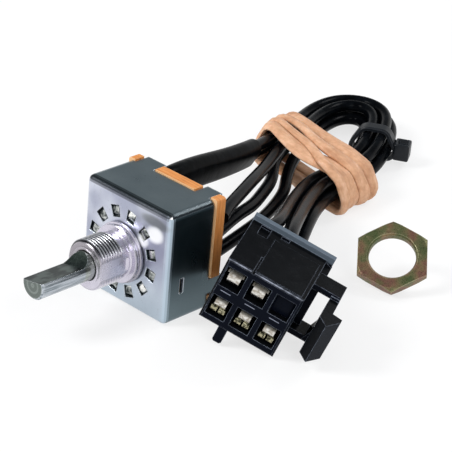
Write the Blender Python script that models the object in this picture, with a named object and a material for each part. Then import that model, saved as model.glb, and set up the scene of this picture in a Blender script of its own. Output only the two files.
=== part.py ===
"""Rotary wiper switch with its lead harness, connector and panel nut.

Frame: +Z up, the control shaft points along -Y, +X is to the right. The
origin is on the underside of the steel can, midway between front and rear.
All sizes below are in millimetres, and y is measured from the can's front;
the empty front_frame carries that front to its place before the origin.
"""

import math

import bmesh
import bpy
import numpy as np
from mathutils import Euler, Matrix, Vector

MM = 0.001

# The steel can
CAN_W = 25.4
CAN_H = 25.4
CAN_D = 12.4
WALL = 0.8
BEND_R = 1.35
SEAT = 0.3
TAB_FOLD = 1.6
TOP_TAB_INSET = 1.7
TOP_TAB_LEFT = 5.5
TOP_TAB_RIGHT = 4.2
LOW_TAB_INSET = 3.9
LOW_TAB_W = 3.6
SIDE_TAB_Z = 3.6
SIDE_TAB_W = 3.6

# The shaft line, left of the can's middle and below it
AXIS_X = -0.8
AXIS_DOWN = 0.65
AXIS_Z = CAN_H / 2 - AXIS_DOWN
AROUND_AXIS = min(CAN_W / 2 - abs(AXIS_X), AXIS_Z, CAN_H - AXIS_Z) - WALL

# The indexing slots in its front
SLOT_COUNT = 12
SLOT_MARGIN = 0.98
SLOT_LONG = 2.7
SLOT_IN = 2.2
SLOT_OUT = 2.6
SLOT_PHASE = 17.2
SLOT_RING_R = AROUND_AXIS - SLOT_MARGIN - SLOT_LONG / 2

# Threaded bushing and shaft
BUSH_OD = 11.11
BUSH_END = 10.4
THREAD_START = 3.0
NECK_R = 5.0
SHOULDER_R = 6.5
BOSS_R = 6.7
SPIGOT_R = 4.9
COLLAR_R = 6.2
BUSH_FLAT = 4.95
SHAFT_R = 3.175
SHAFT_TIP = 24.5
SHAFT_FLAT = 0.79
SHAFT_FLAT_LONG = 11.0
SHAFT_RUNOUT = 2.8
SHAFT_FLAT_TILT = 11.0
RUN = 0.12
GROOVE_R = 2.5
TANG = 3.6

# Stack inside the can, by distance behind the front face
INDEX_Y = 2.4
INDEX_T = 0.7
INDEX_GAP = 0.5
BALL_R = 1.19
BALL_LIFT = 0.15
ROTOR_T = 3.3
ROTOR_GAP = 0.8
WIPER_T = 0.5
WIPER_R = 6.0
WIPER_SPRING_R = 3.2
WIPER_WIRE = 0.3
PAD_T = 0.4

# Insulating board at the rear
BOARD_T = 2.6
BOARD_PROUD = 0.5
BOARD_UP = 0.3
LUG_OUT = 3.2
LUG_W = 1.8
LUG_T = 0.6

# Leads
LEAD_OD = 2.9
LEAD_PITCH = 3.17
SLEEVE_T = 0.55
SLEEVE_END_Y = 57.0

# Connector, in its own axes: w across, d from the mating face to the rear, u up
CON_W = 17.25
CON_D = 17.47
CON_H = 16.39
CON_AT = (28.358, 4.769, 3.249)
CON_TURN = (5.438, 20.26, 27.667)
CAVITY_PITCH = 5.6
CAVITY_W = 4.4
CAVITY_H = 5.2
CAVITY_DEEP = 12.6
ROW_LOW = 4.4
ROW_HIGH = 12.1
CAVITY_MID = -0.1

# Rubber band round the folded harness
BAND_AT = (-16.4, 78.0, 5.5)
BAND_ACROSS = (0.93, 0.37, 0.0)
BAND_WIDE = 13.0
BAND_T = 1.1
BAND_SHEAR = -0.44

# Cable tie round one leg
TIE_AT = (-16.2, 100.3, 4.55)
TIE_ACROSS = (0.86, 0.5, 0.0)
TIE_W = 3.4
TIE_T = 1.1
HEAD = (3.9, 4.6, 4.3)

# Panel nut
NUT_AF = 15.2
NUT_HOLE = 10.4
NUT_T = 2.1
NUT_AT = (28.74, 53.72)
NUT_YAW = 31.1
NUT_LEAN = 54.9
NUT_SPIN = -9.5

for old in list(bpy.data.objects):
    bpy.data.objects.remove(old)

# Everything is drawn from the can's front, which lies half the can's depth before the origin
front_frame = bpy.data.objects.new("front_frame", None)
front_frame.location = (0.0, -CAN_D / 2 * MM, 0.0)
bpy.context.scene.collection.objects.link(front_frame)


# Materials

def material(name, color, roughness, metallic=0.0):
    mat = bpy.data.materials.new(name)
    mat.use_nodes = True
    node = mat.node_tree.nodes["Principled BSDF"]
    node.inputs["Base Color"].default_value = (*color, 1.0)
    node.inputs["Roughness"].default_value = roughness
    node.inputs["Metallic"].default_value = metallic
    mat.diffuse_color = (*color, 1.0)
    return mat


# Small modelling helpers

def link(name, bm, mat=None, parent=None, matrix=None):
    """Turn a bmesh in millimetres into an object in metres."""
    bmesh.ops.recalc_face_normals(bm, faces=bm.faces)
    if matrix is not None:
        bm.transform(matrix)
    bm.transform(Matrix.Scale(MM, 4))
    mesh = bpy.data.meshes.new(name)
    bm.to_mesh(mesh)
    bm.free()
    obj = bpy.data.objects.new(name, mesh)
    bpy.context.scene.collection.objects.link(obj)
    if mat is not None:
        mesh.materials.append(mat)
    obj.parent = parent or front_frame
    return obj


def helper(name, bm, matrix=None, parent=None):
    """A cutter or a filler: hidden from the finished part."""
    obj = link(name, bm, matrix=matrix, parent=parent)
    obj.hide_render = True
    obj.display_type = "WIRE"
    return obj


def boolean(obj, other, operation):
    mod = obj.modifiers.new(operation.title() + " " + other.name, "BOOLEAN")
    mod.operation = operation
    mod.solver = "EXACT"
    mod.object = other


def smooth(obj, degrees=35):
    obj.data.shade_smooth()
    obj.data.set_sharp_from_angle(angle=math.radians(degrees))


def add_box(bm, low, high):
    size = [b - a for a, b in zip(low, high)]
    mid = [(a + b) / 2 for a, b in zip(low, high)]
    made = bmesh.ops.create_cube(bm, size=1.0)
    bmesh.ops.scale(bm, vec=size, verts=made["verts"])
    bmesh.ops.translate(bm, vec=mid, verts=made["verts"])
    return made["verts"]


def box(low, high):
    bm = bmesh.new()
    add_box(bm, low, high)
    return bm


def add_prism(bm, outline, place, start, end):
    """Extrude a 2-D outline from start to end; place(a, b, c) gives the point."""
    rings = [[bm.verts.new(place(a, b, c)) for a, b in outline] for c in (start, end)]
    count = len(outline)
    for i in range(count):
        j = (i + 1) % count
        bm.faces.new((rings[0][i], rings[0][j], rings[1][j], rings[1][i]))
    bm.faces.new(rings[0])
    bm.faces.new(rings[1])


def prism(outline, place, start, end):
    bm = bmesh.new()
    add_prism(bm, outline, place, start, end)
    return bm


def along_x(y, z, x):
    return (x, y, z)


def along_y(x, z, y):
    return (x, y, z)


def along_z(x, y, z):
    return (x, y, z)


def circle(radius, count, cx=0.0, cy=0.0, phase=0.0):
    step = 2 * math.pi / count
    return [
        (cx + radius * math.cos(phase + i * step), cy + radius * math.sin(phase + i * step))
        for i in range(count)
    ]


def turned(profile, count, x=AXIS_X, z=AXIS_Z):
    """Turn a closed (radius, y) profile about a line along Y."""
    bm = bmesh.new()
    rings = []
    for i in range(count):
        turn = 2 * math.pi * i / count
        rings.append([
            bm.verts.new((x + r * math.cos(turn), y, z + r * math.sin(turn)))
            for r, y in profile
        ])
    for i in range(count):
        here, there = rings[i], rings[(i + 1) % count]
        for k in range(len(profile)):
            m = (k + 1) % len(profile)
            bm.faces.new((here[k], here[m], there[m], there[k]))
    return bm


def turned_solid(profile, count, x=AXIS_X, z=AXIS_Z):
    """As turned, for a solid whose open profile starts and ends near the axis."""
    bm = bmesh.new()
    rings = []
    for r, y in profile:
        rings.append([
            bm.verts.new((x + r * math.cos(2 * math.pi * i / count), y,
                          z + r * math.sin(2 * math.pi * i / count)))
            for i in range(count)
        ])
    for a, b in zip(rings, rings[1:]):
        for i in range(count):
            j = (i + 1) % count
            bm.faces.new((a[i], a[j], b[j], b[i]))
    bm.faces.new(rings[0])
    bm.faces.new(rings[-1])
    return bm


def loft(sections, closed=False):
    """Skin a row of equal loops of points; closed joins the last to the first."""
    bm = bmesh.new()
    rings = [[bm.verts.new(p) for p in loop] for loop in sections]
    pairs = list(zip(rings, rings[1:]))
    if closed:
        pairs.append((rings[-1], rings[0]))
    count = len(rings[0])
    for a, b in pairs:
        for i in range(count):
            j = (i + 1) % count
            bm.faces.new((a[i], a[j], b[j], b[i]))
    if not closed:
        bm.faces.new(rings[0])
        bm.faces.new(rings[-1])
    return bm


def coil(radius, wire, start, end, turns, x, z, sides=6, per_turn=12):
    """A compression spring along Y with closed ends."""
    loops = []
    count = int(turns * per_turn)
    for i in range(count + 1):
        turn = 2 * math.pi * i / per_turn
        share = i / count
        y = start + wire + (end - start - 2 * wire) * share
        loop = []
        for s in range(sides):
            a = 2 * math.pi * s / sides
            r = radius + wire * math.cos(a)
            loop.append((x + r * math.cos(turn), y + wire * math.sin(a), z + r * math.sin(turn)))
        loops.append(loop)
    spring = loft(loops)
    bmesh.ops.triangulate(spring, faces=spring.faces)
    return spring


def offset_strip(path, thickness):
    """The outline of a sheet strip that follows a 2-D path."""
    pts = [Vector(p) for p in path]
    left, right = [], []
    for i, p in enumerate(pts):
        a = pts[max(i - 1, 0)]
        b = pts[min(i + 1, len(pts) - 1)]
        t = (b - a).normalized()
        n = Vector((-t.y, t.x)) * thickness / 2
        left.append(tuple(p + n))
        right.append(tuple(p - n))
    return left + right[::-1]


# The colours of the finished pieces
steel_can = material("zinc_steel_can", (0.50, 0.52, 0.57), 0.32, 1.0)
bushing_zinc = material("bushing_zinc", (0.60, 0.60, 0.66), 0.3, 1.0)
shaft_steel = material("shaft_steel", (0.55, 0.57, 0.56), 0.25, 1.0)
inner_steel = material("inner_steel", (0.62, 0.62, 0.62), 0.3, 1.0)
rotor_nylon = material("rotor_nylon", (0.75, 0.72, 0.64), 0.5)
wiper_brass = material("wiper_brass", (0.72, 0.55, 0.26), 0.35, 1.0)
board_phenolic = material("board_phenolic", (0.55, 0.24, 0.07), 0.55)
tinned_brass = material("tinned_brass", (0.70, 0.68, 0.62), 0.28, 1.0)
lead_vinyl = material("lead_vinyl", (0.012, 0.013, 0.015), 0.38)
sleeve_black = material("sleeve_black", (0.015, 0.015, 0.017), 0.5)
band_rubber = material("band_rubber", (0.70, 0.40, 0.20), 0.6)
tie_nylon = material("tie_nylon", (0.02, 0.022, 0.026), 0.4)
connector_nylon = material("connector_nylon", (0.018, 0.02, 0.028), 0.35)
nut_chromate = material("nut_chromate", (0.42, 0.33, 0.20), 0.4, 1.0)


# The moving parts turn about this line
shaft_line = bpy.data.objects.new("shaft_line", None)
shaft_line.location = (AXIS_X * MM, 0.0, AXIS_Z * MM)
shaft_line.parent = front_frame
bpy.context.scene.collection.objects.link(shaft_line)
TO_LINE = Matrix.Translation((-AXIS_X, 0.0, -AXIS_Z))


# Can: a drawn box with twelve slots, open at the rear, six tabs folded over the board
BOARD_Y0 = CAN_D + 0.2
BOARD_Y1 = BOARD_Y0 + BOARD_T
FOLD_Y0 = BOARD_Y1 + SEAT
FOLD_Y1 = FOLD_Y0 + WALL
half_w = CAN_W / 2
top_edge = half_w - TOP_TAB_INSET
low_edge = half_w - LOW_TAB_INSET
TABS = [
    (-top_edge, TOP_TAB_LEFT - top_edge, "top"), (top_edge - TOP_TAB_RIGHT, top_edge, "top"),
    (-low_edge, LOW_TAB_W - low_edge, "low"), (low_edge - LOW_TAB_W, low_edge, "low"),
    (SIDE_TAB_Z, SIDE_TAB_Z + SIDE_TAB_W, "left"), (SIDE_TAB_Z, SIDE_TAB_Z + SIDE_TAB_W, "right"),
]


def tab_box(tab, spread, deep, y0, y1):
    """The space of one tab, widened by spread, reaching deep in from the can's outside."""
    start, end, kind = tab
    start, end, out = start - spread, end + spread, 2.0
    if kind == "top":
        return (start, y0, CAN_H - deep), (end, y1, CAN_H + out)
    if kind == "low":
        return (start, y0, -out), (end, y1, deep)
    if kind == "left":
        return (-half_w - out, y0, start), (-half_w + deep, y1, end)
    return (half_w - deep, y0, start), (half_w + out, y1, end)


can_bm = box((-half_w, 0, 0), (half_w, FOLD_Y1, CAN_H))
round_edges = [
    e for e in can_bm.edges
    if all(abs(v.co.y) < 1e-6 for v in e.verts)
    or abs(e.verts[0].co.y - e.verts[1].co.y) > 1.0
]
bmesh.ops.bevel(can_bm, geom=round_edges, offset=BEND_R, segments=4, profile=0.5,
                affect="EDGES", clamp_overlap=True)
can = link("housing_can", can_bm, steel_can)

inner = box((-half_w + WALL, WALL, WALL), (half_w - WALL, FOLD_Y0, CAN_H - WALL))
boolean(can, helper("can_inside", inner), "DIFFERENCE")

rim = box((-half_w - 1, CAN_D, -1), (half_w + 1, FOLD_Y1 + 1, CAN_H + 1))
rim_cut = helper("can_rim_cut", rim)
keep = bmesh.new()
for tab in TABS:
    low, high = tab_box(tab, 0.0, WALL + TAB_FOLD, CAN_D - 1, FOLD_Y1 + 2)
    add_box(keep, low, high)
boolean(rim_cut, helper("can_tab_keep", keep), "DIFFERENCE")
boolean(can, rim_cut, "DIFFERENCE")

slots = bmesh.new()
for i in range(SLOT_COUNT):
    turn = math.radians(SLOT_PHASE + i * 360 / SLOT_COUNT)
    out_dir = (math.cos(turn), math.sin(turn))
    side_dir = (-out_dir[1], out_dir[0])
    outline = []
    for r, s in ((-1, -SLOT_IN), (1, -SLOT_OUT), (1, SLOT_OUT), (-1, SLOT_IN)):
        rr = SLOT_RING_R + r * SLOT_LONG / 2
        outline.append((AXIS_X + out_dir[0] * rr + side_dir[0] * s / 2,
                        AXIS_Z + out_dir[1] * rr + side_dir[1] * s / 2))
    add_prism(slots, outline, along_y, -1.0, WALL + 0.7)
boolean(can, helper("can_slots", slots), "DIFFERENCE")
spigot_hole = prism(circle(SPIGOT_R + SEAT, 40, AXIS_X, AXIS_Z), along_y, -1.0, WALL + 1.0)
boolean(can, helper("can_spigot_hole", spigot_hole), "DIFFERENCE")
lance = box((half_w - WALL - 0.5, 3.9, 6.6), (half_w + 0.5, 5.0, 10.0))
boolean(can, helper("can_lance_slit", lance), "DIFFERENCE")


# Threaded bushing, riveted through the front of the can
SIDES = 40
bore = (SHAFT_R + RUN) / math.cos(math.pi / SIDES)
thread_r = BUSH_OD / 2
collar_y = WALL + SEAT
bush_profile = [
    (bore + 0.2, -BUSH_END),
    (thread_r - 0.5, -BUSH_END),
    (thread_r, -BUSH_END + 0.5),
    (thread_r, -THREAD_START - 0.3),
    (NECK_R, -THREAD_START + 0.1),
    (NECK_R, -2.0),
    (SHOULDER_R, -2.0),
    (SHOULDER_R, -1.1),
    (BOSS_R, -1.1),
    (BOSS_R, -SEAT),
    (SPIGOT_R, -SEAT),
    (SPIGOT_R, collar_y),
    (COLLAR_R, collar_y),
    (COLLAR_R, collar_y + 0.8),
    (bore, collar_y + 0.8),
    (bore, -BUSH_END + 0.2),
]
bushing = link("threaded_bushing", turned(bush_profile, SIDES), bushing_zinc)
flat_cut = box((AXIS_X + BUSH_FLAT, -BUSH_END - 1, AXIS_Z - 8),
               (AXIS_X + 9, -THREAD_START, AXIS_Z + 8))
boolean(bushing, helper("bushing_flat_cut", flat_cut), "DIFFERENCE")
smooth(bushing)


# Control shaft: flatted at the tip, grooved for its ring, square where it drives the rotor
ring_y = collar_y + 0.8 + 0.35
ring_t = 0.6
rotor_y0 = INDEX_Y + INDEX_T + 1.0
rotor_y1 = rotor_y0 + ROTOR_T
tang_end = BOARD_Y0 - PAD_T - 0.9
tang_r = TANG / math.sqrt(2)
shaft_profile = [
    (SHAFT_R - 0.4, -SHAFT_TIP),
    (SHAFT_R, -SHAFT_TIP + 0.4),
    (SHAFT_R, ring_y - 0.15),
    (GROOVE_R, ring_y - 0.15),
    (GROOVE_R, ring_y + ring_t + 0.15),
    (SHAFT_R, ring_y + ring_t + 0.15),
    (SHAFT_R, ring_y + ring_t + 0.55),
    (2.0, ring_y + ring_t + 0.55),
    (2.0, rotor_y0 + 0.5),
]
shaft = link("control_shaft", turned_solid(shaft_profile, 36), shaft_steel, shaft_line, TO_LINE)
tang = box((AXIS_X - TANG / 2, ring_y + ring_t + 0.45, AXIS_Z - TANG / 2),
           (AXIS_X + TANG / 2, tang_end, AXIS_Z + TANG / 2))
boolean(shaft, helper("shaft_tang", tang, TO_LINE, shaft_line), "UNION")
flat_end = -SHAFT_TIP + SHAFT_FLAT_LONG
rise = SHAFT_R - SHAFT_FLAT + 0.05
runout = [(flat_end + SHAFT_RUNOUT * t, SHAFT_FLAT + rise * t ** 1.7) for t in (0, 0.3, 0.55, 0.8, 1)]
flat_outline = [(-SHAFT_TIP - 1, SHAFT_FLAT)] + runout + [(flat_end + SHAFT_RUNOUT, 6), (-SHAFT_TIP - 1, 6)]
flat_bm = prism(flat_outline, along_x, -5, 5)
tilt = Matrix.Rotation(-math.radians(SHAFT_FLAT_TILT), 4, "Y")
boolean(shaft, helper("shaft_flat_cut", flat_bm, tilt, shaft_line), "DIFFERENCE")
smooth(shaft)

ring_in = GROOVE_R + 0.25
ring_out = 4.7
gap_half = math.radians(38)
arc = [gap_half + (2 * math.pi - 2 * gap_half) * i / 20 for i in range(21)]
ring_outline = [(ring_out * math.cos(a), ring_out * math.sin(a)) for a in arc]
ring_outline += [(ring_in * math.cos(a), ring_in * math.sin(a)) for a in reversed(arc)]
link("shaft_retaining_ring", prism(ring_outline, along_y, ring_y, ring_y + ring_t),
     inner_steel, shaft_line)


# Index plate: a fixed square plate behind the front, with a dimple between each pair of slots
index_side = half_w - WALL - INDEX_GAP
index = link("index_plate", box((-index_side, INDEX_Y, WALL + INDEX_GAP),
                                (index_side, INDEX_Y + INDEX_T, CAN_H - WALL - INDEX_GAP)), inner_steel)
index_hole = prism(circle(COLLAR_R + 0.5, 40, AXIS_X, AXIS_Z), along_y, INDEX_Y - 1, INDEX_Y + INDEX_T + 1)
boolean(index, helper("index_hole", index_hole), "DIFFERENCE")
dimples = bmesh.new()
for i in range(SLOT_COUNT):
    turn = math.radians(SLOT_PHASE + (i + 0.5) * 360 / SLOT_COUNT)
    add_prism(dimples, circle(0.85, 8, AXIS_X + SLOT_RING_R * math.cos(turn),
                              AXIS_Z + SLOT_RING_R * math.sin(turn)),
              along_y, INDEX_Y + 0.35, INDEX_Y + INDEX_T + 1)
boolean(index, helper("index_dimples", dimples), "DIFFERENCE")


# Rotor with its detent ball and spring
ball_turn = math.radians(SLOT_PHASE + 2.5 * 360 / SLOT_COUNT)
ball_x = SLOT_RING_R * math.cos(ball_turn)
ball_z = SLOT_RING_R * math.sin(ball_turn)
ball_y = INDEX_Y + INDEX_T + BALL_R + BALL_LIFT
pocket_end = rotor_y1 - 0.5
rotor_r = AROUND_AXIS - ROTOR_GAP
hub_r = 5.2
nest_r = WIPER_SPRING_R + WIPER_WIRE + 0.3
nest_y = rotor_y0 + 1.2
rotor_profile = [
    (2.0, rotor_y0),
    (rotor_r, rotor_y0),
    (rotor_r, rotor_y1 - 0.8),
    (rotor_r - 0.8, rotor_y1),
    (hub_r, rotor_y1),
    (hub_r, rotor_y1 + 0.6),
    (nest_r, rotor_y1 + 0.6),
    (nest_r, nest_y),
    (2.0, nest_y),
]
rotor = link("rotor", turned(rotor_profile, 40, 0, 0), rotor_nylon, shaft_line)
square = TANG / 2 + 0.2
square_cut = box((-square, rotor_y0 - 1, -square), (square, rotor_y1 + 2, square))
boolean(rotor, helper("rotor_square", square_cut, parent=shaft_line), "DIFFERENCE")
pocket = prism(circle(BALL_R + 0.25, 16, ball_x, ball_z), along_y, rotor_y0 - 1, pocket_end)
boolean(rotor, helper("rotor_pocket", pocket, parent=shaft_line), "DIFFERENCE")
smooth(rotor)

ball_bm = bmesh.new()
bmesh.ops.create_uvsphere(ball_bm, u_segments=14, v_segments=8, radius=BALL_R)
bmesh.ops.translate(ball_bm, vec=(ball_x, ball_y, ball_z), verts=ball_bm.verts)
ball = link("detent_ball", ball_bm, inner_steel, shaft_line)
smooth(ball, 80)
link("detent_spring", coil(0.85, 0.12, ball_y + BALL_R + 0.1, pocket_end - 0.1, 2.5, ball_x, ball_z),
     inner_steel, shaft_line)


# Contact wiper: a three-armed spring-brass plate with a foot on each arm
pad_y1 = BOARD_Y0 - 0.2
pad_y0 = pad_y1 - PAD_T
foot_end = pad_y0 - 0.15
wiper_y0 = foot_end - 1.3
arms = []
for i in range(3):
    turn = math.radians(90 + 120 * i)
    for r, a in ((3.9, -38), (WIPER_R + 1.0, -9), (WIPER_R + 1.0, 9), (3.9, 38)):
        arms.append((r * math.cos(turn + math.radians(a)), r * math.sin(turn + math.radians(a))))
wiper = link("contact_wiper", prism(arms, along_y, wiper_y0, wiper_y0 + WIPER_T),
             wiper_brass, shaft_line)
feet = bmesh.new()
for i in range(3):
    turn = math.radians(90 + 120 * i)
    add_prism(feet, circle(0.7, 10, WIPER_R * math.cos(turn), WIPER_R * math.sin(turn)),
              along_y, wiper_y0 + WIPER_T / 2, foot_end)
boolean(wiper, helper("wiper_feet", feet, parent=shaft_line), "UNION")
wiper_hole = box((-square, wiper_y0 - 1, -square), (square, wiper_y0 + 2, square))
boolean(wiper, helper("wiper_square", wiper_hole, parent=shaft_line), "DIFFERENCE")
link("wiper_spring", coil(WIPER_SPRING_R, WIPER_WIRE, nest_y + 0.1, wiper_y0 - 0.1, 2.5, 0, 0),
     inner_steel, shaft_line)


# Terminals of the switch: a contact strip inside, a stem through the board, a lug behind
LUGS = [(5.9 - half_w, CAN_H - 6.8, 150), (5.9 - half_w, CAN_H - 3.6, 110), (half_w - 3.3, CAN_H - 7.0, 50),
        (half_w - 5.1, CAN_H / 2 + 0.9, 10), (half_w - 6.1, AXIS_Z - 4.05, -30)]
board_bm = box((-half_w - BOARD_PROUD, BOARD_Y0, 0.05),
               (half_w + BOARD_PROUD, BOARD_Y1, CAN_H + BOARD_UP))
board_edges = [e for e in board_bm.edges if abs(e.verts[0].co.y - e.verts[1].co.y) > 1.0]
bmesh.ops.bevel(board_bm, geom=board_edges, offset=0.5, segments=2, profile=0.5, affect="EDGES")
board = link("terminal_board", board_bm, board_phenolic)
notches = bmesh.new()
for tab in TABS:
    low, high = tab_box(tab, SEAT, WALL + SEAT, BOARD_Y0 - 1, BOARD_Y1 + 1)
    add_box(notches, low, high)
boolean(board, helper("board_notches", notches), "DIFFERENCE")
stem_holes = bmesh.new()
for x, z, _ in LUGS:
    add_box(stem_holes, (x - LUG_T / 2 - SEAT, BOARD_Y0 - 1, z - LUG_W / 2 - SEAT),
            (x + LUG_T / 2 + SEAT, BOARD_Y1 + 1, z + LUG_W / 2 + SEAT))
boolean(board, helper("board_stem_holes", stem_holes), "DIFFERENCE")

for n, (x, z, angle) in enumerate(LUGS, 1):
    turn = math.radians(angle)
    tip = Vector((AXIS_X + WIPER_R * math.cos(turn), AXIS_Z + WIPER_R * math.sin(turn)))
    stem = Vector((x, z))
    way = (tip - stem).normalized()
    side = Vector((-way.y, way.x)) * 0.75
    strip = [stem - way * 0.6 + side, tip + side, tip + way * 0.8 + side * 0.4,
             tip + way * 0.8 - side * 0.4, tip - side, stem - way * 0.6 - side]
    terminal = link(f"stator_terminal_{n}", prism([tuple(p) for p in strip], along_y, pad_y0, pad_y1),
                    tinned_brass)
    lug = bmesh.new()
    add_box(lug, (x - LUG_T / 2, pad_y0 + PAD_T / 2, z - LUG_W / 2),
            (x + LUG_T / 2, BOARD_Y1 + LUG_OUT, z + LUG_W / 2))
    boolean(terminal, helper(f"terminal_lug_{n}", lug), "UNION")


# The connector's own frame
turn_con = Euler([math.radians(a) for a in CON_TURN], "XYZ").to_matrix().to_4x4()
CON = Matrix.Translation(CON_AT) @ turn_con
con_frame = bpy.data.objects.new("connector_frame", None)
con_frame.parent = front_frame
con_frame.matrix_basis = Matrix.Translation(Vector(CON_AT) * MM) @ turn_con
bpy.context.scene.collection.objects.link(con_frame)

COLUMNS = [CAVITY_MID - CAVITY_PITCH, CAVITY_MID, CAVITY_MID + CAVITY_PITCH]
FILLED = [(COLUMNS[2], ROW_LOW), (COLUMNS[1], ROW_HIGH), (COLUMNS[0], ROW_HIGH),
          (COLUMNS[1], ROW_LOW), (COLUMNS[0], ROW_LOW)]


def con_point(w, d, u):
    return np.array(CON @ Vector((w, d, u)))


# Leads: the route of the folded bundle, and where each lead runs in it
LOOP = [
    (-29.0, 86, 6.0), (-32.4, 93, 5.2), (-35.0, 99.7, 4.6), (-35.9, 105.2, 4.6), (-35.2, 110, 4.6),
    (-32.4, 113.4, 4.6), (-28.1, 114.1, 4.6), (-23.9, 111.7, 4.6), (-20.1, 106.8, 4.6), (-15, 98.5, 4.6),
    (-11.2, 91, 4.6), (-8.8, 82.5, 4.6), (-7.0, 75, 4.7), (-5.9, 68.4, 5.6), (-1.6, 59.4, 7.2),
    (4.3, 49.4, 9.4),
]
IN_BUNDLE = {1: (-2, -1), 2: (-1, 1), 3: (1, 1), 4: (0, -1), 5: (2, -1)}
PAIR = [
    (-6.8, 18.7, 20.2, 90), (-8.0, 23.2, 19.7, 88), (-10.5, 31.6, 18.0, 82), (-13.0, 40.2, 15.9, 74),
    (-15.7, 49.2, 14.0, 68), (-18.9, 57.5, 12.0, 63), (-26.6, 75.5, 8.3, 60),
]
FROM_BOARD = {
    3: [(9.4, 18.7, 18.4), (5.9, 24.1, 17.9), (2.8, 29.9, 17.0), (-3.9, 41.9, 14.9),
        (-12.0, 55.8, 11.8), (-22.8, 75.5, 9.6)],
    4: [(7.6, 18.7, 13.6), (1.9, 32.1, 12.2), (-1.3, 40.1, 10.5), (-6.0, 48.4, 9.2),
        (-11.0, 57.2, 8.2), (-18.8, 66.2, 7.3), (-22.6, 72.5, 6.6), (-25.6, 79.0, 5.4)],
    5: [(6.6, 18.7, 8.0), (1.4, 38.3, 7.4), (-2.2, 46.4, 6.2), (-6.2, 54.2, 5.3),
        (-10.0, 61.0, 4.7), (-14.8, 66.6, 4.4), (-18.9, 72.6, 4.4), (-23.1, 79.6, 4.5)],
}


def lead_stations(number):
    """The points one lead is led through, from its lug to its cavity."""
    loop = np.array(LOOP, float)
    along = np.gradient(loop, axis=0)
    along /= np.linalg.norm(along, axis=1)[:, None]
    right = np.cross(along, (0, 0, 1))
    right /= np.linalg.norm(right, axis=1)[:, None]
    across, row = IN_BUNDLE[number]
    middle = loop + right * across * 1.6 + np.array((0, 0, row * 1.4))
    if number in FROM_BOARD:
        first = [np.array(p, float) for p in FROM_BOARD[number]]
    else:
        sign = -1 if number == 1 else 1
        first = []
        for x, y, z, lean in PAIR:
            a = math.radians(lean)
            way = np.array((0.93 * math.cos(a), 0.36 * math.cos(a), math.sin(a)))
            first.append(np.array((x, y, z)) + sign * 1.6 * way)
    w, u = FILLED[number - 1]
    last = [con_point(w * 0.68 - 0.6, CON_D + 8, u * 0.9 + 0.4),
            con_point(w, CON_D + 3, u), con_point(w, CON_D - 4.2, u)]
    return first + list(middle) + last


def curve_through(points, steps=8):
    """A centripetal Catmull-Rom curve through the points."""
    p = np.array(points, float)
    p = np.vstack([2 * p[0] - p[1], p, 2 * p[-1] - p[-2]])
    out = []
    for i in range(1, len(p) - 2):
        a, b, c, d = p[i - 1:i + 3]
        t1 = np.linalg.norm(b - a) ** 0.5
        t2 = t1 + np.linalg.norm(c - b) ** 0.5
        t3 = t2 + np.linalg.norm(d - c) ** 0.5
        for k in range(steps):
            t = t1 + (t2 - t1) * k / steps
            ab = (t1 - t) / t1 * a + t / t1 * b
            bc = (t2 - t) / (t2 - t1) * b + (t - t1) / (t2 - t1) * c
            cd = (t3 - t) / (t3 - t2) * c + (t - t2) / (t3 - t2) * d
            abc = (t2 - t) / t2 * ab + t / t2 * bc
            bcd = (t3 - t) / (t3 - t1) * bc + (t - t1) / (t3 - t1) * cd
            out.append((t2 - t) / (t2 - t1) * abc + (t - t1) / (t2 - t1) * bcd)
    out.append(p[-2])
    return np.array(out)


def even(points, step):
    run = np.r_[0, np.cumsum(np.linalg.norm(np.diff(points, axis=0), axis=1))]
    at = np.linspace(0, run[-1], int(round(run[-1] / step)) + 1)
    return np.stack([np.interp(at, run, points[:, k]) for k in range(3)], 1)


def settle(leads, rounds=500):
    """Ease the leads apart to their pitch and let their own stiffness smooth them."""
    first = {k: p.copy() for k, p in leads.items()}
    hold = {}
    for k, p in leads.items():
        hold[k] = np.ones((len(p), 1))
        hold[k][:2] = 0
        hold[k][-7:] = 0
    for _ in range(rounds):
        for k, p in leads.items():
            pull = np.zeros_like(p)
            pull[1:-1] = (p[:-2] + p[2:]) / 2 - p[1:-1]
            bend = np.zeros_like(p)
            bend[1:-1] = (pull[:-2] + pull[2:]) / 2 - pull[1:-1]
            leads[k] = p + (0.1 * pull - 0.42 * bend + 0.006 * (first[k] - p)) * hold[k]
        names = sorted(leads)
        for n, i in enumerate(names):
            for j in names[n + 1:]:
                gap = leads[i][:, None] - leads[j][None]
                far = np.linalg.norm(gap, axis=2)
                a, b = np.where(far < LEAD_PITCH)
                if not len(a):
                    continue
                push = gap[a, b] / far[a, b][:, None] * (LEAD_PITCH - far[a, b])[:, None] * 0.44
                for k, rows, sign in ((i, a, 1), (j, b, -1)):
                    move = np.zeros_like(leads[k])
                    many = np.zeros((len(move), 1))
                    np.add.at(move, rows, sign * push)
                    np.add.at(many, rows, 1)
                    leads[k] += move / np.maximum(many, 1) * hold[k]
        for k in leads:
            leads[k][:, 2] = np.maximum(leads[k][:, 2], LEAD_OD / 2 + 0.35)
    return leads


def by_bend(points, straight=7.0, bend=0.21):
    """Pick points closer together where the lead bends more."""
    fine = even(points, 0.5)
    way = np.diff(fine, axis=0)
    way /= np.linalg.norm(way, axis=1)[:, None]
    calm = np.array([way[max(0, i - 3):i + 4].mean(0) for i in range(len(way))])
    calm /= np.linalg.norm(calm, axis=1)[:, None]
    turn = np.r_[0, np.arccos(np.clip((calm[1:] * calm[:-1]).sum(1), -1, 1))]
    load = np.cumsum(0.5 / straight + turn / bend)
    at = np.linspace(0, load[-1], int(round(load[-1])) + 1)
    rows = np.minimum(np.searchsorted(load, at), len(fine) - 1)
    picked = [fine[0]] + [fine[i] for i in rows[1:-1]] + [fine[-1]]
    return picked


leads = settle({k: even(curve_through(lead_stations(k)), 1.0) for k in IN_BUNDLE})

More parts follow.
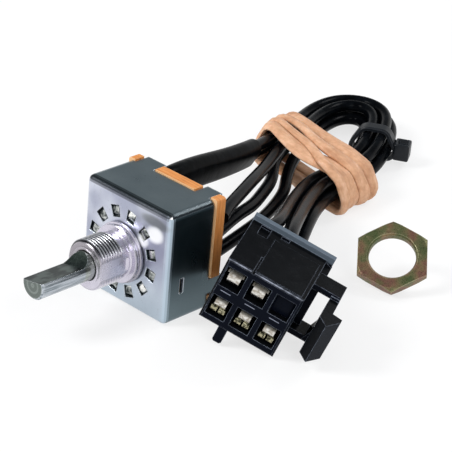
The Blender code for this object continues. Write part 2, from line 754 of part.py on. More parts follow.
for k, points in leads.items():
    picked = by_bend(points)
    curve = bpy.data.curves.new(f"lead_{k}", "CURVE")
    curve.dimensions = "3D"
    curve.bevel_depth = LEAD_OD / 2 * MM
    curve.bevel_resolution = 2
    curve.use_fill_caps = True
    spline = curve.splines.new("POLY")
    spline.points.add(len(picked) - 1)
    for point, p in zip(spline.points, picked):
        point.co = (*(p * MM), 1.0)
    curve.materials.append(lead_vinyl)
    tube = bpy.data.objects.new(f"lead_{k}", curve)
    tube.parent = front_frame
    bpy.context.scene.collection.objects.link(tube)


# Heat-shrink sleeve over the two upper-left leads
def sleeve_loop(low, high, radius, along, count=8):
    mid = (low + high) / 2
    up = high - low
    up -= along * up.dot(along)
    half = up.length / 2
    up.normalize()
    out = along.cross(up).normalized()
    loop = []
    for sign in (1, -1):
        for i in range(count):
            a = math.pi * (i + 0.5) / count
            loop.append(mid + up * (sign * (half + radius * math.sin(a)))
                        + out * (sign * radius * math.cos(a)))
    return loop


one, two = leads[1], leads[2]
inside_r = LEAD_OD / 2 + 0.2
outer_loops, inner_loops = [], []
station_ys = [FOLD_Y1 + SEAT, BOARD_Y1 + LUG_OUT]
station_ys += list(np.linspace(22.5, SLEEVE_END_Y, 9))
for y in station_ys:
    lows, highs = [], []
    for lead, found in ((one, lows), (two, highs)):
        rows = lead[:80]
        for shift in (0.0, 1.0):
            at = max(y + shift, rows[0][1])
            found.append(Vector([float(np.interp(at, rows[:, 1], rows[:, c])) for c in range(3)]))
        if y < rows[0][1]:
            found[0].y = y
            found[1] = found[0] + Vector((0, 1, 0))
    low, high = lows[0], highs[0]
    along = ((lows[1] - lows[0]) + (highs[1] - highs[0])).normalized()
    inner_loops.append(sleeve_loop(low, high, inside_r, along))
    outer_loops.append(sleeve_loop(low, high, inside_r + SLEEVE_T, along))
sleeve = loft(outer_loops + inner_loops[::-1], closed=True)
smooth(link("heat_shrink", sleeve, sleeve_black), 50)


# Rubber band and cable tie: both stretch over the leads that they hold

def stretched(spots, radius, count=28):
    """The outline of a band pulled tight over rods at spots, with outward directions."""
    loop = []
    for i in range(count):
        a = 2 * math.pi * (i + 0.5) / count
        out = Vector((math.cos(a), math.sin(a)))
        far = max(spots, key=lambda spot: spot.dot(out))
        loop.append((far + out * radius, out))
    return loop


def held(points, centre, across, along, half_wide, shear):
    """Where the leads pass through the ring, as across and up."""
    spots = []
    for p in points:
        rel = Vector(p) - centre
        a = rel.dot(across)
        if abs(rel.dot(along) - shear * a) < half_wide + 2.4 and abs(a) < 24:
            spots.append(Vector((a, rel.z)))
    return spots


def ring_round(name, mat, points, centre, across, half_wide, shear, thick, profile, clear=0.3):
    across = Vector(across).normalized()
    along = Vector((-across.y, across.x, 0))
    centre = Vector(centre)
    spots = held(points, centre, across, along, half_wide, shear)
    outline = stretched(spots, LEAD_OD / 2 + clear)
    sections = []
    for spot, out in outline:
        loop = []
        for t, depth in profile:
            p = spot + out * depth * thick
            loop.append(centre + across * p.x + Vector((0, 0, max(p.y, 0.05 - centre.z)))
                        + along * (t * half_wide + shear * p.x))
        sections.append(loop)
    return link(name, loft(sections, closed=True), mat), outline


ribs = 3
band_profile = [(-1.0, 0.0), (-1.0, 0.6)]
for i in range(ribs):
    middle = -1 + (2 * i + 1) / ribs
    band_profile += [(middle - 0.8 / ribs, 1.0), (middle + 0.8 / ribs, 1.0)]
    if i < ribs - 1:
        band_profile.append((middle + 1 / ribs, 0.45))
band_profile += [(1.0, 0.6), (1.0, 0.0)]
everywhere = np.vstack(list(leads.values()))
band, _ = ring_round("rubber_band", band_rubber, everywhere, BAND_AT, BAND_ACROSS, BAND_WIDE / 2,
                     BAND_SHEAR, BAND_T, band_profile, 0.42)
smooth(band, 50)


# The tie is a strap round one leg, with its ratchet head outside
strap_profile = [(-1.0, 0.0), (-1.0, 0.7), (-0.8, 1.0), (0.8, 1.0), (1.0, 0.7), (1.0, 0.0)]
one_leg = everywhere[(everywhere[:, 1] > 92) & (everywhere[:, 0] > -24)]
tie, strap = ring_round("cable_tie", tie_nylon, one_leg, TIE_AT, TIE_ACROSS, TIE_W / 2,
                        0.0, TIE_T, strap_profile)
across = Vector(TIE_ACROSS).normalized()
along = Vector((-across.y, across.x, 0))
edge_a = max(spot.x for spot, _ in strap)
head_bm = bmesh.new()
add_box(head_bm, (edge_a + 0.3, -HEAD[1] / 2, -HEAD[2] / 2),
        (edge_a + 0.3 + HEAD[0], HEAD[1] / 2, HEAD[2] / 2))
bmesh.ops.bevel(head_bm, geom=list(head_bm.edges), offset=0.5, segments=2, profile=0.5,
                affect="EDGES")
turn_head = Matrix((
    (across.x, along.x, 0, TIE_AT[0]),
    (across.y, along.y, 0, TIE_AT[1]),
    (0, 0, 1, TIE_AT[2] - 1.0),
    (0, 0, 0, 1),
))
boolean(tie, helper("tie_head", head_bm, turn_head), "UNION")


# Connector housing: one moulding with six cavities, a rear collar, a foot peg and a side latch
half_c = CON_W / 2
body = box((-half_c, 0, 0), (half_c, CON_D, CON_H))
front_edges = [e for e in body.edges if all(abs(v.co.y) < 1e-6 for v in e.verts)]
bmesh.ops.bevel(body, geom=front_edges, offset=0.45, segments=1, affect="EDGES")
housing = link("connector_housing", body, connector_nylon, con_frame)


def con_helper(name, bm):
    return helper(name, bm, parent=con_frame)


def along_d(w, u, d):
    return (w, d, u)


lip = bmesh.new()
add_box(lip, (-8.8, CON_D - 1.25, 0.3), (10.1, CON_D - 0.1, CON_H + 1.1))
boolean(housing, con_helper("con_lip", lip), "UNION")
collar = bmesh.new()
add_prism(collar, [(half_c - 0.5, 0.9), (10.2, 1.6), (10.2, CON_H - 1.2), (half_c - 0.5, CON_H - 0.3)],
          along_d, 10.2, CON_D - 0.6)
boolean(housing, con_helper("con_collar", collar), "UNION")
peg = bmesh.new()
add_prism(peg, [(-3.94, 1.0), (-3.94, -3.4), (-3.6, -3.8), (-2.3, -3.8), (-1.92, -3.4), (-1.92, 1.0)],
          along_d, 0.25, 2.25)
boolean(housing, con_helper("con_peg", peg), "UNION")

# The latch stands beside the body: two ribs, an outer wall and a wedge nose
latch = bmesh.new()
edge = half_c
add_prism(latch, [(edge - 0.6, 14.45), (edge + 6.25, 14.45), (edge + 6.25, 15.8), (edge - 0.6, 15.8)],
          along_d, 7.8, 12.3)
latch_top = con_helper("con_latch_top", latch)
latch_low = bmesh.new()
add_prism(latch_low, [(edge - 0.6, 1.75), (edge + 4.6, 1.75), (edge + 4.6, 3.1), (edge - 0.6, 3.1)],
          along_d, 7.9, 12.2)
latch_wall = bmesh.new()
add_prism(latch_wall, [(edge + 3.3, 2.2), (edge + 4.55, 2.2), (edge + 6.2, 4.6), (edge + 6.2, 15.3),
                       (edge + 4.3, 15.3), (edge + 4.3, 5.2)], along_d, 7.6, 12.1)
nose = bmesh.new()
NOSE = [(4.2, 6.0), (4.2, 0.6), (6.2, -1.4), (8.5, 2.0), (8.5, 3.1), (6.3, 3.4), (6.3, 8.2), (4.3, 8.2)]
add_prism(nose, [(edge + w, d) for w, d in NOSE], along_z, 4.4, 14.7)
for name, bm in (("con_latch_low", latch_low), ("con_latch_wall", latch_wall), ("con_nose", nose)):
    boolean(housing, con_helper(name, bm), "UNION")
boolean(housing, latch_top, "UNION")

cavities = bmesh.new()
for u in (ROW_LOW, ROW_HIGH):
    for w in COLUMNS:
        add_box(cavities, (w - CAVITY_W / 2, -2.5, u - CAVITY_H / 2),
                (w + CAVITY_W / 2, CAVITY_DEEP, u + CAVITY_H / 2))
boolean(housing, con_helper("con_cavities", cavities), "DIFFERENCE")
lead_holes = bmesh.new()
for u in (ROW_LOW, ROW_HIGH):
    for w in COLUMNS:
        add_prism(lead_holes, circle(LEAD_OD / 2 + 0.3, 16, w, u), along_d, CAVITY_DEEP - 1, CON_D + 1)
boolean(housing, con_helper("con_lead_holes", lead_holes), "DIFFERENCE")
marks = bmesh.new()
add_box(marks, (-6.5, 12.3, CON_H - 0.6), (-4.2, 15.9, CON_H + 3))
add_box(marks, (-1.7, 14.6, CON_H - 0.7), (0.1, 15.9, CON_H + 3))
add_box(marks, (-3.1, -1, CON_H - 0.5), (-2.5, 5.9, CON_H + 1))
boolean(housing, con_helper("con_top_marks", marks), "DIFFERENCE")

# Blade receptacles: a folded strip with two rolled edges, and a barrel behind
for n, (w, u) in enumerate(FILLED, 1):
    flip = -1 if u == ROW_HIGH else 1
    path = []
    for i in range(7):
        a = math.radians(150 + 35 * i)
        path.append((1.28 + 0.5 * math.cos(a), -1.2 + 0.5 * math.sin(a)))
    path += [(1.78, 0.9), (1.55, 1.5), (0.9, 1.85)]
    full = [(w + a, u + flip * b) for a, b in path]
    full += [(w - a, u + flip * b) for a, b in reversed(path)]
    strip = offset_strip(full, 0.36)
    receptacle = link(f"connector_terminal_{n}", prism(strip, along_d, 0.9, 8.6),
                      tinned_brass, con_frame)
    barrel = bmesh.new()
    add_box(barrel, (w - 0.7, 7.6, min(u + flip * 0.4, u + flip * 1.98)),
            (w + 0.7, CAVITY_DEEP - 0.2, max(u + flip * 0.4, u + flip * 1.98)))
    boolean(receptacle, con_helper(f"terminal_neck_{n}", barrel), "UNION")
    # its mouth: a crowned tongue before the blade, and the two rolled edges
    tall = 2.35 if u == ROW_HIGH else 2.1
    crown = [(1.3 * math.sin(math.radians(a)), 1.65 - 1.15 * math.cos(math.radians(a))) for a in range(-75, 76, 15)]
    tongue = bmesh.new()
    add_prism(tongue, [(w + a, d) for a, d in crown], along_z, *sorted((u + flip * 2.05, u + flip * (2.05 - tall))))
    boolean(receptacle, con_helper(f"terminal_tongue_{n}", tongue), "UNION")
    curls = bmesh.new()
    for side in (-1, 1):
        add_prism(curls, circle(0.56, 12, w + side * 1.24, u - flip * 1.28), along_d, 0.6, 2.2)
    boolean(receptacle, con_helper(f"terminal_curls_{n}", curls), "UNION")


# Panel nut, leaning back on one corner beside the harness, as it is pictured
yaw, lean, spin = (math.radians(a) for a in (NUT_YAW, NUT_LEAN, NUT_SPIN))
nut_turn = Matrix.Rotation(yaw, 4, "Z") @ Matrix.Rotation(-lean, 4, "X") @ Matrix.Rotation(spin, 4, "Y")
corner_r = NUT_AF / math.sqrt(3)
nut_up = corner_r * math.cos(lean) * math.cos(spin) + NUT_T / 2 * math.sin(lean) + 0.05
nut_place = Matrix.Translation((*NUT_AT, nut_up)) @ nut_turn
hexagon = circle(corner_r, 6, 0, 0, math.pi / 6)
nut = link("mounting_nut", prism(hexagon, along_y, -NUT_T / 2, NUT_T / 2), nut_chromate,
           matrix=nut_place)
drop = 0.45
dome = turned_solid([(corner_r - 0.9, -NUT_T / 2 - 0.01), (corner_r + 0.05, -NUT_T / 2 + drop),
                     (corner_r + 0.05, NUT_T / 2 - drop), (corner_r - 0.9, NUT_T / 2 + 0.01)],
                    36, 0, 0)
boolean(nut, helper("nut_chamfer", dome, nut_place), "INTERSECT")
sink = NUT_HOLE / 2
hole = turned_solid([(sink + 0.8, -NUT_T / 2 - 0.4), (sink, -NUT_T / 2 + 0.4),
                     (sink, NUT_T / 2 - 0.4), (sink + 0.8, NUT_T / 2 + 0.4)], 36, 0, 0)
boolean(nut, helper("nut_hole", hole, nut_place), "DIFFERENCE")
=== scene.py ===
# %% [markdown]
# # A rotary wiper switch, dressed for its portrait
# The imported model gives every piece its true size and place. This lesson adds what a camera
# sees on top of that: a thread on the bushing, a real rubber band, soft black leads, and a
# finish for every piece. Blender works in metres, with +Z up; the lesson counts in millimetres,
# which MM turns into metres. Places are measured from the can's front, and FRONT says where it
# stands. The connector lies at a slant, so it has three axes of its own.

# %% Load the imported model
import math
import bmesh
import bpy
import numpy as np
from mathutils import Euler, Matrix, Vector


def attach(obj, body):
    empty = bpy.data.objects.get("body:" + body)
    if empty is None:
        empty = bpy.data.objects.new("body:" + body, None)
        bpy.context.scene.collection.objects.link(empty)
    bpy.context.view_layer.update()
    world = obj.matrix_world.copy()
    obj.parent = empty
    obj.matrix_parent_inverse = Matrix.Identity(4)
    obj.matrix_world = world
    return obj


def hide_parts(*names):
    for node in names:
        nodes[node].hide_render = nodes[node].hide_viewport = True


MM = 0.001
FRONT = Vector((0.0, -6.2, 0.0))
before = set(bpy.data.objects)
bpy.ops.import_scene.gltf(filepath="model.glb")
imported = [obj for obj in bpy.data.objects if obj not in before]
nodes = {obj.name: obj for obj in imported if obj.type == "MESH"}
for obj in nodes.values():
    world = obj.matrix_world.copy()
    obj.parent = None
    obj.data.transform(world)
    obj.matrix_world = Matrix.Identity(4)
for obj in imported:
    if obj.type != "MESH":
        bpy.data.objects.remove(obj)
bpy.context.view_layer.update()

# %% Shaft line, connector axes, and a helper for new objects
AXIS = (-0.8, 12.05)
CONNECTOR_AT, CONNECTOR_DEEP = Vector((28.358, 4.769, 3.249)), 17.47
CONNECTOR_TURN = (5.438, 20.26, 27.667)
con_axes = Euler([math.radians(a) for a in CONNECTOR_TURN], "XYZ").to_matrix()
CON_RIGHT, CON_BACK, CON_UP = (tuple(con_axes.col[i]) for i in range(3))


def connector_point(w, d, u):
    """A point so far across, behind and above the connector's lower front corner."""
    return np.array(con_axes @ Vector((w, d, u)) + CONNECTOR_AT)


def new_object(name, data):
    obj = bpy.data.objects.new(name, data)
    bpy.context.scene.collection.objects.link(obj)
    return obj


print("the connector's mouth faces", [round(-v, 2) for v in CON_BACK])

# %% [markdown]
# ## The camera
# The photograph was taken from the right of the shaft and from above, from far away, so lines
# stay almost parallel. The camera stands back along its own view direction from a target, and
# is rolled a little, as a hand-held camera is.

# %% Camera
AZIMUTH, ELEVATION, ROLL = math.radians(41.94), math.radians(26.69), math.radians(5.25)
TARGET_RIGHT, TARGET_UP, AWAY = 20.46, 18.21, 421.06
FOCAL_PX, FRAME_PX, SENSOR = 2000.0, 452, 36.0

back = Vector((math.sin(AZIMUTH) * math.cos(ELEVATION), -math.cos(AZIMUTH) * math.cos(ELEVATION),
               math.sin(ELEVATION)))
right = Vector((math.cos(AZIMUTH), math.sin(AZIMUTH), 0))
up = back.cross(right)
rolled_right = right * math.cos(ROLL) + up * math.sin(ROLL)
rolled_up = -right * math.sin(ROLL) + up * math.cos(ROLL)
camera_data = bpy.data.cameras.new("portrait_camera")
camera_data.sensor_width = SENSOR
camera_data.lens = FOCAL_PX / FRAME_PX * SENSOR
camera = new_object("portrait_camera", camera_data)
spot = (right * TARGET_RIGHT + up * TARGET_UP + back * AWAY + FRONT) * MM
turn = Matrix((rolled_right, rolled_up, back)).transposed().to_4x4()
camera.matrix_world = Matrix.Translation(spot) @ turn
bpy.context.scene.camera = camera
print("camera stands", round(spot.length, 3), "m away")

# %% [markdown]
# ## A way to write finishes as sums
# A finish is a small network of shader nodes. Writing it out link by link hides the idea, so
# Signal wraps one output socket and gives it the usual operators. Numbers go through Math
# nodes, colours and vectors through Vector Math or Mix. A bar means either of the two.

# %% Signal
class Signal:
    def __init__(self, tree, socket):
        self.tree = tree
        self.socket = socket

    def combine(self, other, operation, swapped=False):
        pair = (other, self) if swapped else (self, other)
        flat = all(s.socket.type == "VALUE" if isinstance(s, Signal) else isinstance(s, (int, float))
                   for s in pair)
        kind = "ShaderNodeMath" if flat else "ShaderNodeVectorMath"
        return self.tree.node(kind, {"operation": operation}, {0: pair[0], 1: pair[1]})[0]

    def __add__(self, other):
        return self.combine(other, "ADD")

    def __radd__(self, other):
        return self.combine(other, "ADD", True)

    def __sub__(self, other):
        return self.combine(other, "SUBTRACT")

    def __rsub__(self, other):
        return self.combine(other, "SUBTRACT", True)

    def __mul__(self, other):
        return self.combine(other, "MULTIPLY")

    def __rmul__(self, other):
        return self.combine(other, "MULTIPLY", True)

    def __truediv__(self, other):
        return self.combine(other, "DIVIDE")

    def __rtruediv__(self, other):
        return self.combine(other, "DIVIDE", True)

    def __or__(self, other):
        return self.combine(other, "MAXIMUM")

    def root(self):
        return self.tree.node("ShaderNodeMath", {"operation": "SQRT"}, {0: self})[0]

    def dot(self, other):
        return self.tree.node("ShaderNodeVectorMath", {"operation": "DOT_PRODUCT"}, {0: self, 1: other})[1]

    def above(self, low, high):
        """0 below low, 1 above high, and smooth between them."""
        return self.tree.node("ShaderNodeMapRange", {"interpolation_type": "SMOOTHSTEP"},
                              {"Value": self, "From Min": low, "From Max": high})[0]


print("operators: + - * / |")

# %% Shader: one method that adds any node
class Made:
    def __init__(self, tree, node):
        self.tree = tree
        self.node = node

    def __getitem__(self, key):
        return Signal(self.tree, self.node.outputs[key])


class Shader:
    """A tree of nodes, for a material or for the world."""

    def __init__(self, node_tree):
        self.all = node_tree

    def plug(self, socket, value):
        if isinstance(value, Signal):
            self.all.links.new(value.socket, socket)
        elif isinstance(value, (int, float)) and socket.type == "VECTOR":
            socket.default_value = (value,) * 3
        elif isinstance(value, tuple) and socket.type == "RGBA" and len(value) == 3:
            socket.default_value = (*value, 1.0)
        else:
            socket.default_value = value

    def node(self, kind, settings=None, sockets=None):
        made = self.all.nodes.new(kind)
        for key, value in (settings or {}).items():
            if key == "stops":
                ramp = made.color_ramp
                while len(ramp.elements) < len(value):
                    ramp.elements.new(0.5)
                for element, (place, color) in zip(ramp.elements, value):
                    element.position = place
                    element.color = (*color, 1.0)
            else:
                setattr(made, key, value)
        for key, value in (sockets or {}).items():
            self.plug(made.inputs[key], value)
        return Made(self, made)

    def mix(self, first, second, amount):
        return self.node("ShaderNodeMix", {"data_type": "RGBA"}, {0: amount, 6: first, 7: second})[2]

    def coats(self, base, *layers):
        """Colours laid over a base in turn, each with how much of it shows."""
        for color, amount in layers:
            base = self.mix(base, color, amount)
        return base

    def ramp(self, value, *stops):
        return self.node("ShaderNodeValToRGB", {"stops": stops}, {0: value})[0]

    def parts(self, vector):
        made = self.node("ShaderNodeSeparateXYZ", {}, {0: vector})
        return made[0], made[1], made[2]


print("one method adds every kind of node")

# %% Finish: a material and what it can measure
class Finish(Shader):
    def __init__(self, name, **fixed):
        self.mat = bpy.data.materials.new(name)
        self.mat.use_nodes = True
        super().__init__(self.mat.node_tree)
        self.shader = self.all.nodes["Principled BSDF"]
        self.set(**fixed)

    def set(self, **values):
        for key, value in values.items():
            self.plug(self.shader.inputs[key.replace("_", " ")], value)

    def place(self):
        """Where the surface is, in millimetres of the object's own frame."""
        return self.node("ShaderNodeTexCoord")["Object"] * 1000.0

    def noise(self, size, detail=3.0, rough=0.5, stretch=None):
        """Cloudy values near 0.5; size is in millimetres."""
        at = self.place() * stretch if stretch else self.place()
        return self.node("ShaderNodeTexNoise", {},
                         {"Vector": at, "Scale": 1.0 / size, "Detail": detail, "Roughness": rough})[0]

    def facing(self, axis):
        """1 where the surface faces along an axis of the piece, -1 where it faces away."""
        return self.node("ShaderNodeTexCoord")["Normal"].dot(axis)

    # Most finishes lay painted highlights, and the band painted shade, near the edges this finds.
    def soft_edges(self, radius_mm):
        """A soft-edged normal, and how near the surface is to an edge."""
        soft = self.node("ShaderNodeBevel", {"samples": 6}, {"Radius": radius_mm * MM})[0]
        same = soft.dot(self.node("ShaderNodeNewGeometry")["Normal"])
        return soft, (1.0 - same).above(0.004, 0.12)

    def bump(self, height, mm, under=None):
        sockets = {"Strength": 1.0, "Distance": mm * MM, "Height": height}
        if under is not None:
            sockets["Normal"] = under
        return self.node("ShaderNodeBump", {}, sockets)[0]


def srgb(r, g, b):
    """A colour read from the photograph on a 0 to 255 scale, as light."""
    return tuple(((v / 255 + 0.055) / 1.055) ** 2.4 if v > 10 else v / 255 / 12.92 for v in (r, g, b))


def paint(finish, *names):
    for name in names:
        slots = nodes[name].data.materials
        slots.clear()
        slots.append(finish.mat)
    print(finish.mat.name, len(finish.all.nodes), "nodes, on", len(names) or "pieces made below")


WHITE = srgb(255, 255, 255)
print("white is", WHITE)

# %% [markdown]
# ## Zinc-plated steel for the can
# The can is pressed from plated sheet. Its front is pale with a lavender cast. Its top and sides reflect
# the dark of the room, and that dark is painted into their colour as painted reflection under a metal
# shader; slow clouds and fine drawing lines break it up. Its bends, its top corner and two lamps on the
# front get painted reflections, and its edges painted highlights.

# %% Can: a tone for each side
zinc = Finish("zinc_plate", Specular_IOR_Level=0.5)
cloud = zinc.noise(9.0, 2.0)
speck = zinc.noise(0.5, 4.0, 0.6)
draw_lines = zinc.noise(1.2, 2.0, stretch=(1.0, 1.0, 0.08))
rounded, edge = zinc.soft_edges(0.35)
can_x, can_y, can_z = zinc.parts(zinc.place())
top = zinc.facing((0, 0, 1)).above(0.5, 0.9)
side = zinc.facing((1, 0, 0)).above(0.5, 0.9)
low = 1.0 - can_z.above(0.0, 16.0)
front_tone = zinc.mix(srgb(168, 172, 190), srgb(206, 210, 222), cloud.above(0.35, 0.65))
# Towards the bottom the front is painted bluer: a painted reflection of the paper.
front_tone = zinc.mix(front_tone, srgb(172, 190, 202), low * 0.7)
# The top and the right side are painted dark, a painted reflection of the dark ceiling; the side is painted
# lighter towards the bottom, a painted reflection of the paper.
top_painted_reflection = zinc.mix(srgb(104, 118, 124), srgb(132, 144, 148), cloud)
side_painted_reflection = zinc.mix(srgb(36, 52, 60), srgb(104, 120, 126), low * 0.8 + cloud * 0.2)
tone = zinc.coats(front_tone, (top_painted_reflection, top), (side_painted_reflection, side))
tone = zinc.mix(tone, tone * 0.72, speck.above(0.58, 0.72) * 0.5)
print("sides of the can:", len(zinc.all.nodes), "nodes so far")

# %% Can: painted reflections on its bends, and lamps painted into the plate
# The bends and the top corner carry painted reflections: the upper and side bends dark, the front bend
# pale, the corner crinkled between black and white.
upper_front = can_z.above(23.0, 24.6) * (1.0 - (can_y - FRONT.y).above(1.6, 2.6))
upper_bend = upper_front * zinc.facing((0, -0.707, 0.707)).above(0.7, 0.9)
side_bend = zinc.facing((0.707, 0, 0.707)).above(0.88, 0.97)
front_bend = zinc.facing((0.707, -0.707, 0)).above(0.75, 0.95)
corner = zinc.facing((0.577, -0.577, 0.577)).above(0.9, 0.96)
crinkle = zinc.noise(0.5, 2.0).above(0.45, 0.55)


def glint(x, z, wide, tall, slope):
    """A soft patch on the front, where a reflection is painted into the plate."""
    dx, dz = (can_x - x) / wide, (can_z - z + (x - can_x) * slope) / tall
    return 1.0 - (dx * dx + dz * dz).above(0.25, 1.3)


lamp_patch = glint(8.3, 19.6, 2.7, 2.0, 0.1) * 0.9 + glint(5.0, 17.0, 1.8, 1.6, 0) * 0.8
# Painted reflections over the tone: dark bends, a pale front bend, a grey patch near the top, white lamp
# patches and the crinkled corner.
tone = zinc.coats(tone, (srgb(18, 25, 28), upper_bend * 0.92 + side_bend * 0.6),
                  (srgb(188, 206, 220), front_bend * 0.7),
                  (srgb(120, 124, 122), glint(8.2, 22.4, 4.2, 1.3, -0.05) * 0.6),
                  (WHITE, lamp_patch), (zinc.mix(srgb(16, 20, 22), WHITE, crinkle), corner))
# The edges are painted bright as painted highlights, and the painted lamp patches are made less metallic so
# their white shows.
zinc.set(Base_Color=zinc.mix(tone, srgb(224, 232, 240), edge * 0.7 * (1.0 - upper_bend)),
         Roughness=0.2 + 0.12 * cloud + 0.1 * draw_lines,
         Metallic=0.85 * (1.0 - lamp_patch * 0.8),
         Normal=zinc.bump(draw_lines * 0.6 + cloud, 0.02, rounded))
paint(zinc, "housing_can")

# %% [markdown]
# ## The bushing and its shaft
# The bushing is a bright casting with a satin skin; its grooves get painted shade, its thread's upper side
# and its flange a dark painted reflection, and its crests and edges painted highlights. The shaft is ground
# steel, with turning rings on its end and a milled flat painted darker, a painted reflection of the dark
# room. Both are round, so their finishes ask how far a point is from the shaft line.

# %% Bushing finish
def round_the_shaft(finish):
    """Right, back from the can's front, up, and the radius from the shaft line."""
    x, y, z = finish.parts(finish.place() - (AXIS[0], FRONT.y, AXIS[1]))
    return x, y, z, (x * x + z * z).root()


cast = Finish("bushing_casting", Metallic=0.9)
cast_cloud = cast.noise(2.5, 3.0)
cast_soft, cast_edge = cast.soft_edges(0.12)
cast_x, cast_y, cast_z, cast_r = round_the_shaft(cast)
threaded = cast_r.above(4.93, 4.97) * (1.0 - cast_y.above(-4.4, -4.2)) * cast_y.above(-10.3, -10.2)
groove = threaded * (1.0 - cast_r.above(5.14, 5.4))
crest = threaded * cast_r.above(5.36, 5.5)
turned_up = cast_z / cast_r - cast_x / cast_r * 0.35
upward = threaded * turned_up.above(0.1, 0.75)
flange = cast_r.above(6.2, 6.3) * (1.0 - turned_up.above(0.0, 0.4))
front_rim = (1.0 - cast_y.above(-10.35, -10.1)) * turned_up.above(-0.5, 0.4)
# Painted light on the bushing: shade in the grooves, a dark reflection on the thread's upper side and the
# flange, a darker upper front rim, light crests, and highlights on the edges off the thread.
cast_tone = cast.coats(cast.mix(srgb(196, 192, 206), srgb(222, 218, 230), cast_cloud),
                       (srgb(146, 144, 154), flange * 0.8), (srgb(72, 74, 76), upward * 0.85),
                       (srgb(20, 23, 25), groove * (0.25 + upward * 0.75)),
                       (srgb(226, 228, 230), crest * 0.75), (srgb(132, 126, 128), front_rim * 0.7))
cast.set(Base_Color=cast.mix(cast_tone, srgb(244, 244, 248), cast_edge * 0.5 * (1.0 - threaded)),
         Roughness=0.2 + 0.14 * cast_cloud,
         Normal=cast.bump(cast.noise(0.35, 3.0), 0.006, cast_soft))
paint(cast)

# %% Shaft finish
FLAT_TILT = math.radians(11.0)
ground = Finish("shaft_ground_steel", Metallic=1.0)
lengthways = ground.noise(0.35, 3.0, stretch=(1.0, 0.05, 1.0))
mill = ground.noise(1.6, 2.0, stretch=(0.7, 0.5, 1.0))
flat_up = Vector((-math.sin(FLAT_TILT), 0, math.cos(FLAT_TILT)))
flat_face = ground.facing(tuple(flat_up)).above(0.985, 0.998)
ramp_face = ground.facing(tuple((flat_up + Vector((0, -0.75, 0))).normalized())).above(0.9, 0.96)
shaft_y, shaft_r = round_the_shaft(ground)[1::2]
near_bushing = shaft_y.above(-13.4, -12.6)
end_rings = ground.node("ShaderNodeMath", {"operation": "SINE"}, {0: shaft_r * 5.0})[0]
end_face = ground.facing((0, -1, 0)).above(0.9, 0.99)
shaft_soft, shaft_edge = ground.soft_edges(0.12)
# The milled flat and its run-out are painted dark, a painted reflection of the dark room broken by milling
# marks, and the edges get painted highlights.
shaft_tone = ground.coats(
    ground.mix(srgb(130, 140, 146), srgb(196, 202, 210), lengthways.above(0.35, 0.65)),
    (ground.mix(srgb(34, 46, 44), srgb(92, 104, 100), mill.above(0.4, 0.62)), flat_face),
    (ground.mix(srgb(20, 30, 26), srgb(86, 98, 88), mill), ramp_face * 0.95),
    (ground.mix(srgb(104, 120, 96), srgb(214, 216, 204), mill), near_bushing * (1.0 - ramp_face) * 0.6),
    (ground.mix(srgb(108, 116, 112), srgb(134, 142, 138), end_rings), end_face),
    (srgb(240, 242, 244), shaft_edge * 0.8))
ground.set(Base_Color=shaft_tone, Roughness=0.2 + 0.12 * lengthways + 0.1 * flat_face,
           Normal=ground.bump(lengthways + end_rings * end_face * 0.5, 0.008, shaft_soft))
paint(ground, "control_shaft")

# %% [markdown]
# ## Bright inner steel, brass, nylon and laminate
# The index plate shines through the slots, so it gets a mirror-like finish. The rest inside is
# hidden but finished too, because the model can be opened. The board is a paper laminate: its
# rim is a rough warm brown, and its faces carry fine fibre.

# %% Inner finishes
bright = Finish("bright_inner_steel", Metallic=1.0)
sheen = bright.noise(1.6, 2.0)
# Its colour runs from dark to near white in patches: painted reflections.
bright.set(Base_Color=bright.ramp(sheen, (0.36, srgb(52, 58, 58)), (0.5, srgb(170, 174, 172)),
                                  (0.62, srgb(250, 250, 246))),
           Roughness=0.16 + 0.16 * sheen, Normal=bright.bump(sheen, 0.12, bright.soft_edges(0.1)[0]))
paint(bright, "index_plate", "shaft_retaining_ring", "detent_ball", "detent_spring", "wiper_spring")

brass = Finish("wiper_brass", Metallic=1.0)
grain = brass.noise(0.5, 4.0, stretch=(1.0, 1.0, 0.2))
brass.set(Base_Color=brass.mix(srgb(206, 170, 96), srgb(170, 130, 70), grain),
          Roughness=0.25 + 0.2 * grain, Normal=brass.bump(grain, 0.01, brass.soft_edges(0.08)[0]))
paint(brass, "contact_wiper")

nylon = Finish("rotor_nylon", Subsurface_Weight=0.05)
flow = nylon.noise(1.5, 4.0)
nylon.set(Base_Color=nylon.mix(srgb(214, 208, 190), srgb(232, 228, 214), flow),
          Roughness=0.4 + 0.2 * flow, Normal=nylon.bump(flow, 0.02, nylon.soft_edges(0.2)[0]))
paint(nylon, "rotor")

# %% Board finish
laminate = Finish("board_laminate", Specular_IOR_Level=0.4)
fibre = laminate.noise(0.28, 5.0, 0.65)
plies = laminate.noise(0.5, 3.0, 0.6, stretch=(0.08, 1.0, 0.08))
board_soft, board_edge = laminate.soft_edges(0.25)
warm = laminate.ramp(plies * 0.7 + fibre * 0.3, (0.3, srgb(168, 98, 44)), (0.5, srgb(206, 132, 66)),
                     (0.7, srgb(226, 158, 92)))
pale = laminate.facing((0, -1, 0)).above(0.5, 0.9)
laminate.set(Base_Color=laminate.coats(warm, (srgb(236, 196, 148), pale * 0.7),
                                       (srgb(238, 190, 138), board_edge * (0.3 + fibre * 0.6))),
             Roughness=0.5 + 0.25 * fibre, Normal=laminate.bump(fibre * 0.5 + plies, 0.05, board_soft))
paint(laminate, "terminal_board")

# %% [markdown]
# ## Tinned strip
# The contacts are tin-plated. The mouth of the connector looks up into a dark room, so whatever faces up
# there is painted darker, a painted reflection, and the edges get a faint painted highlight; the small
# rolls of the lower row have aged to olive.

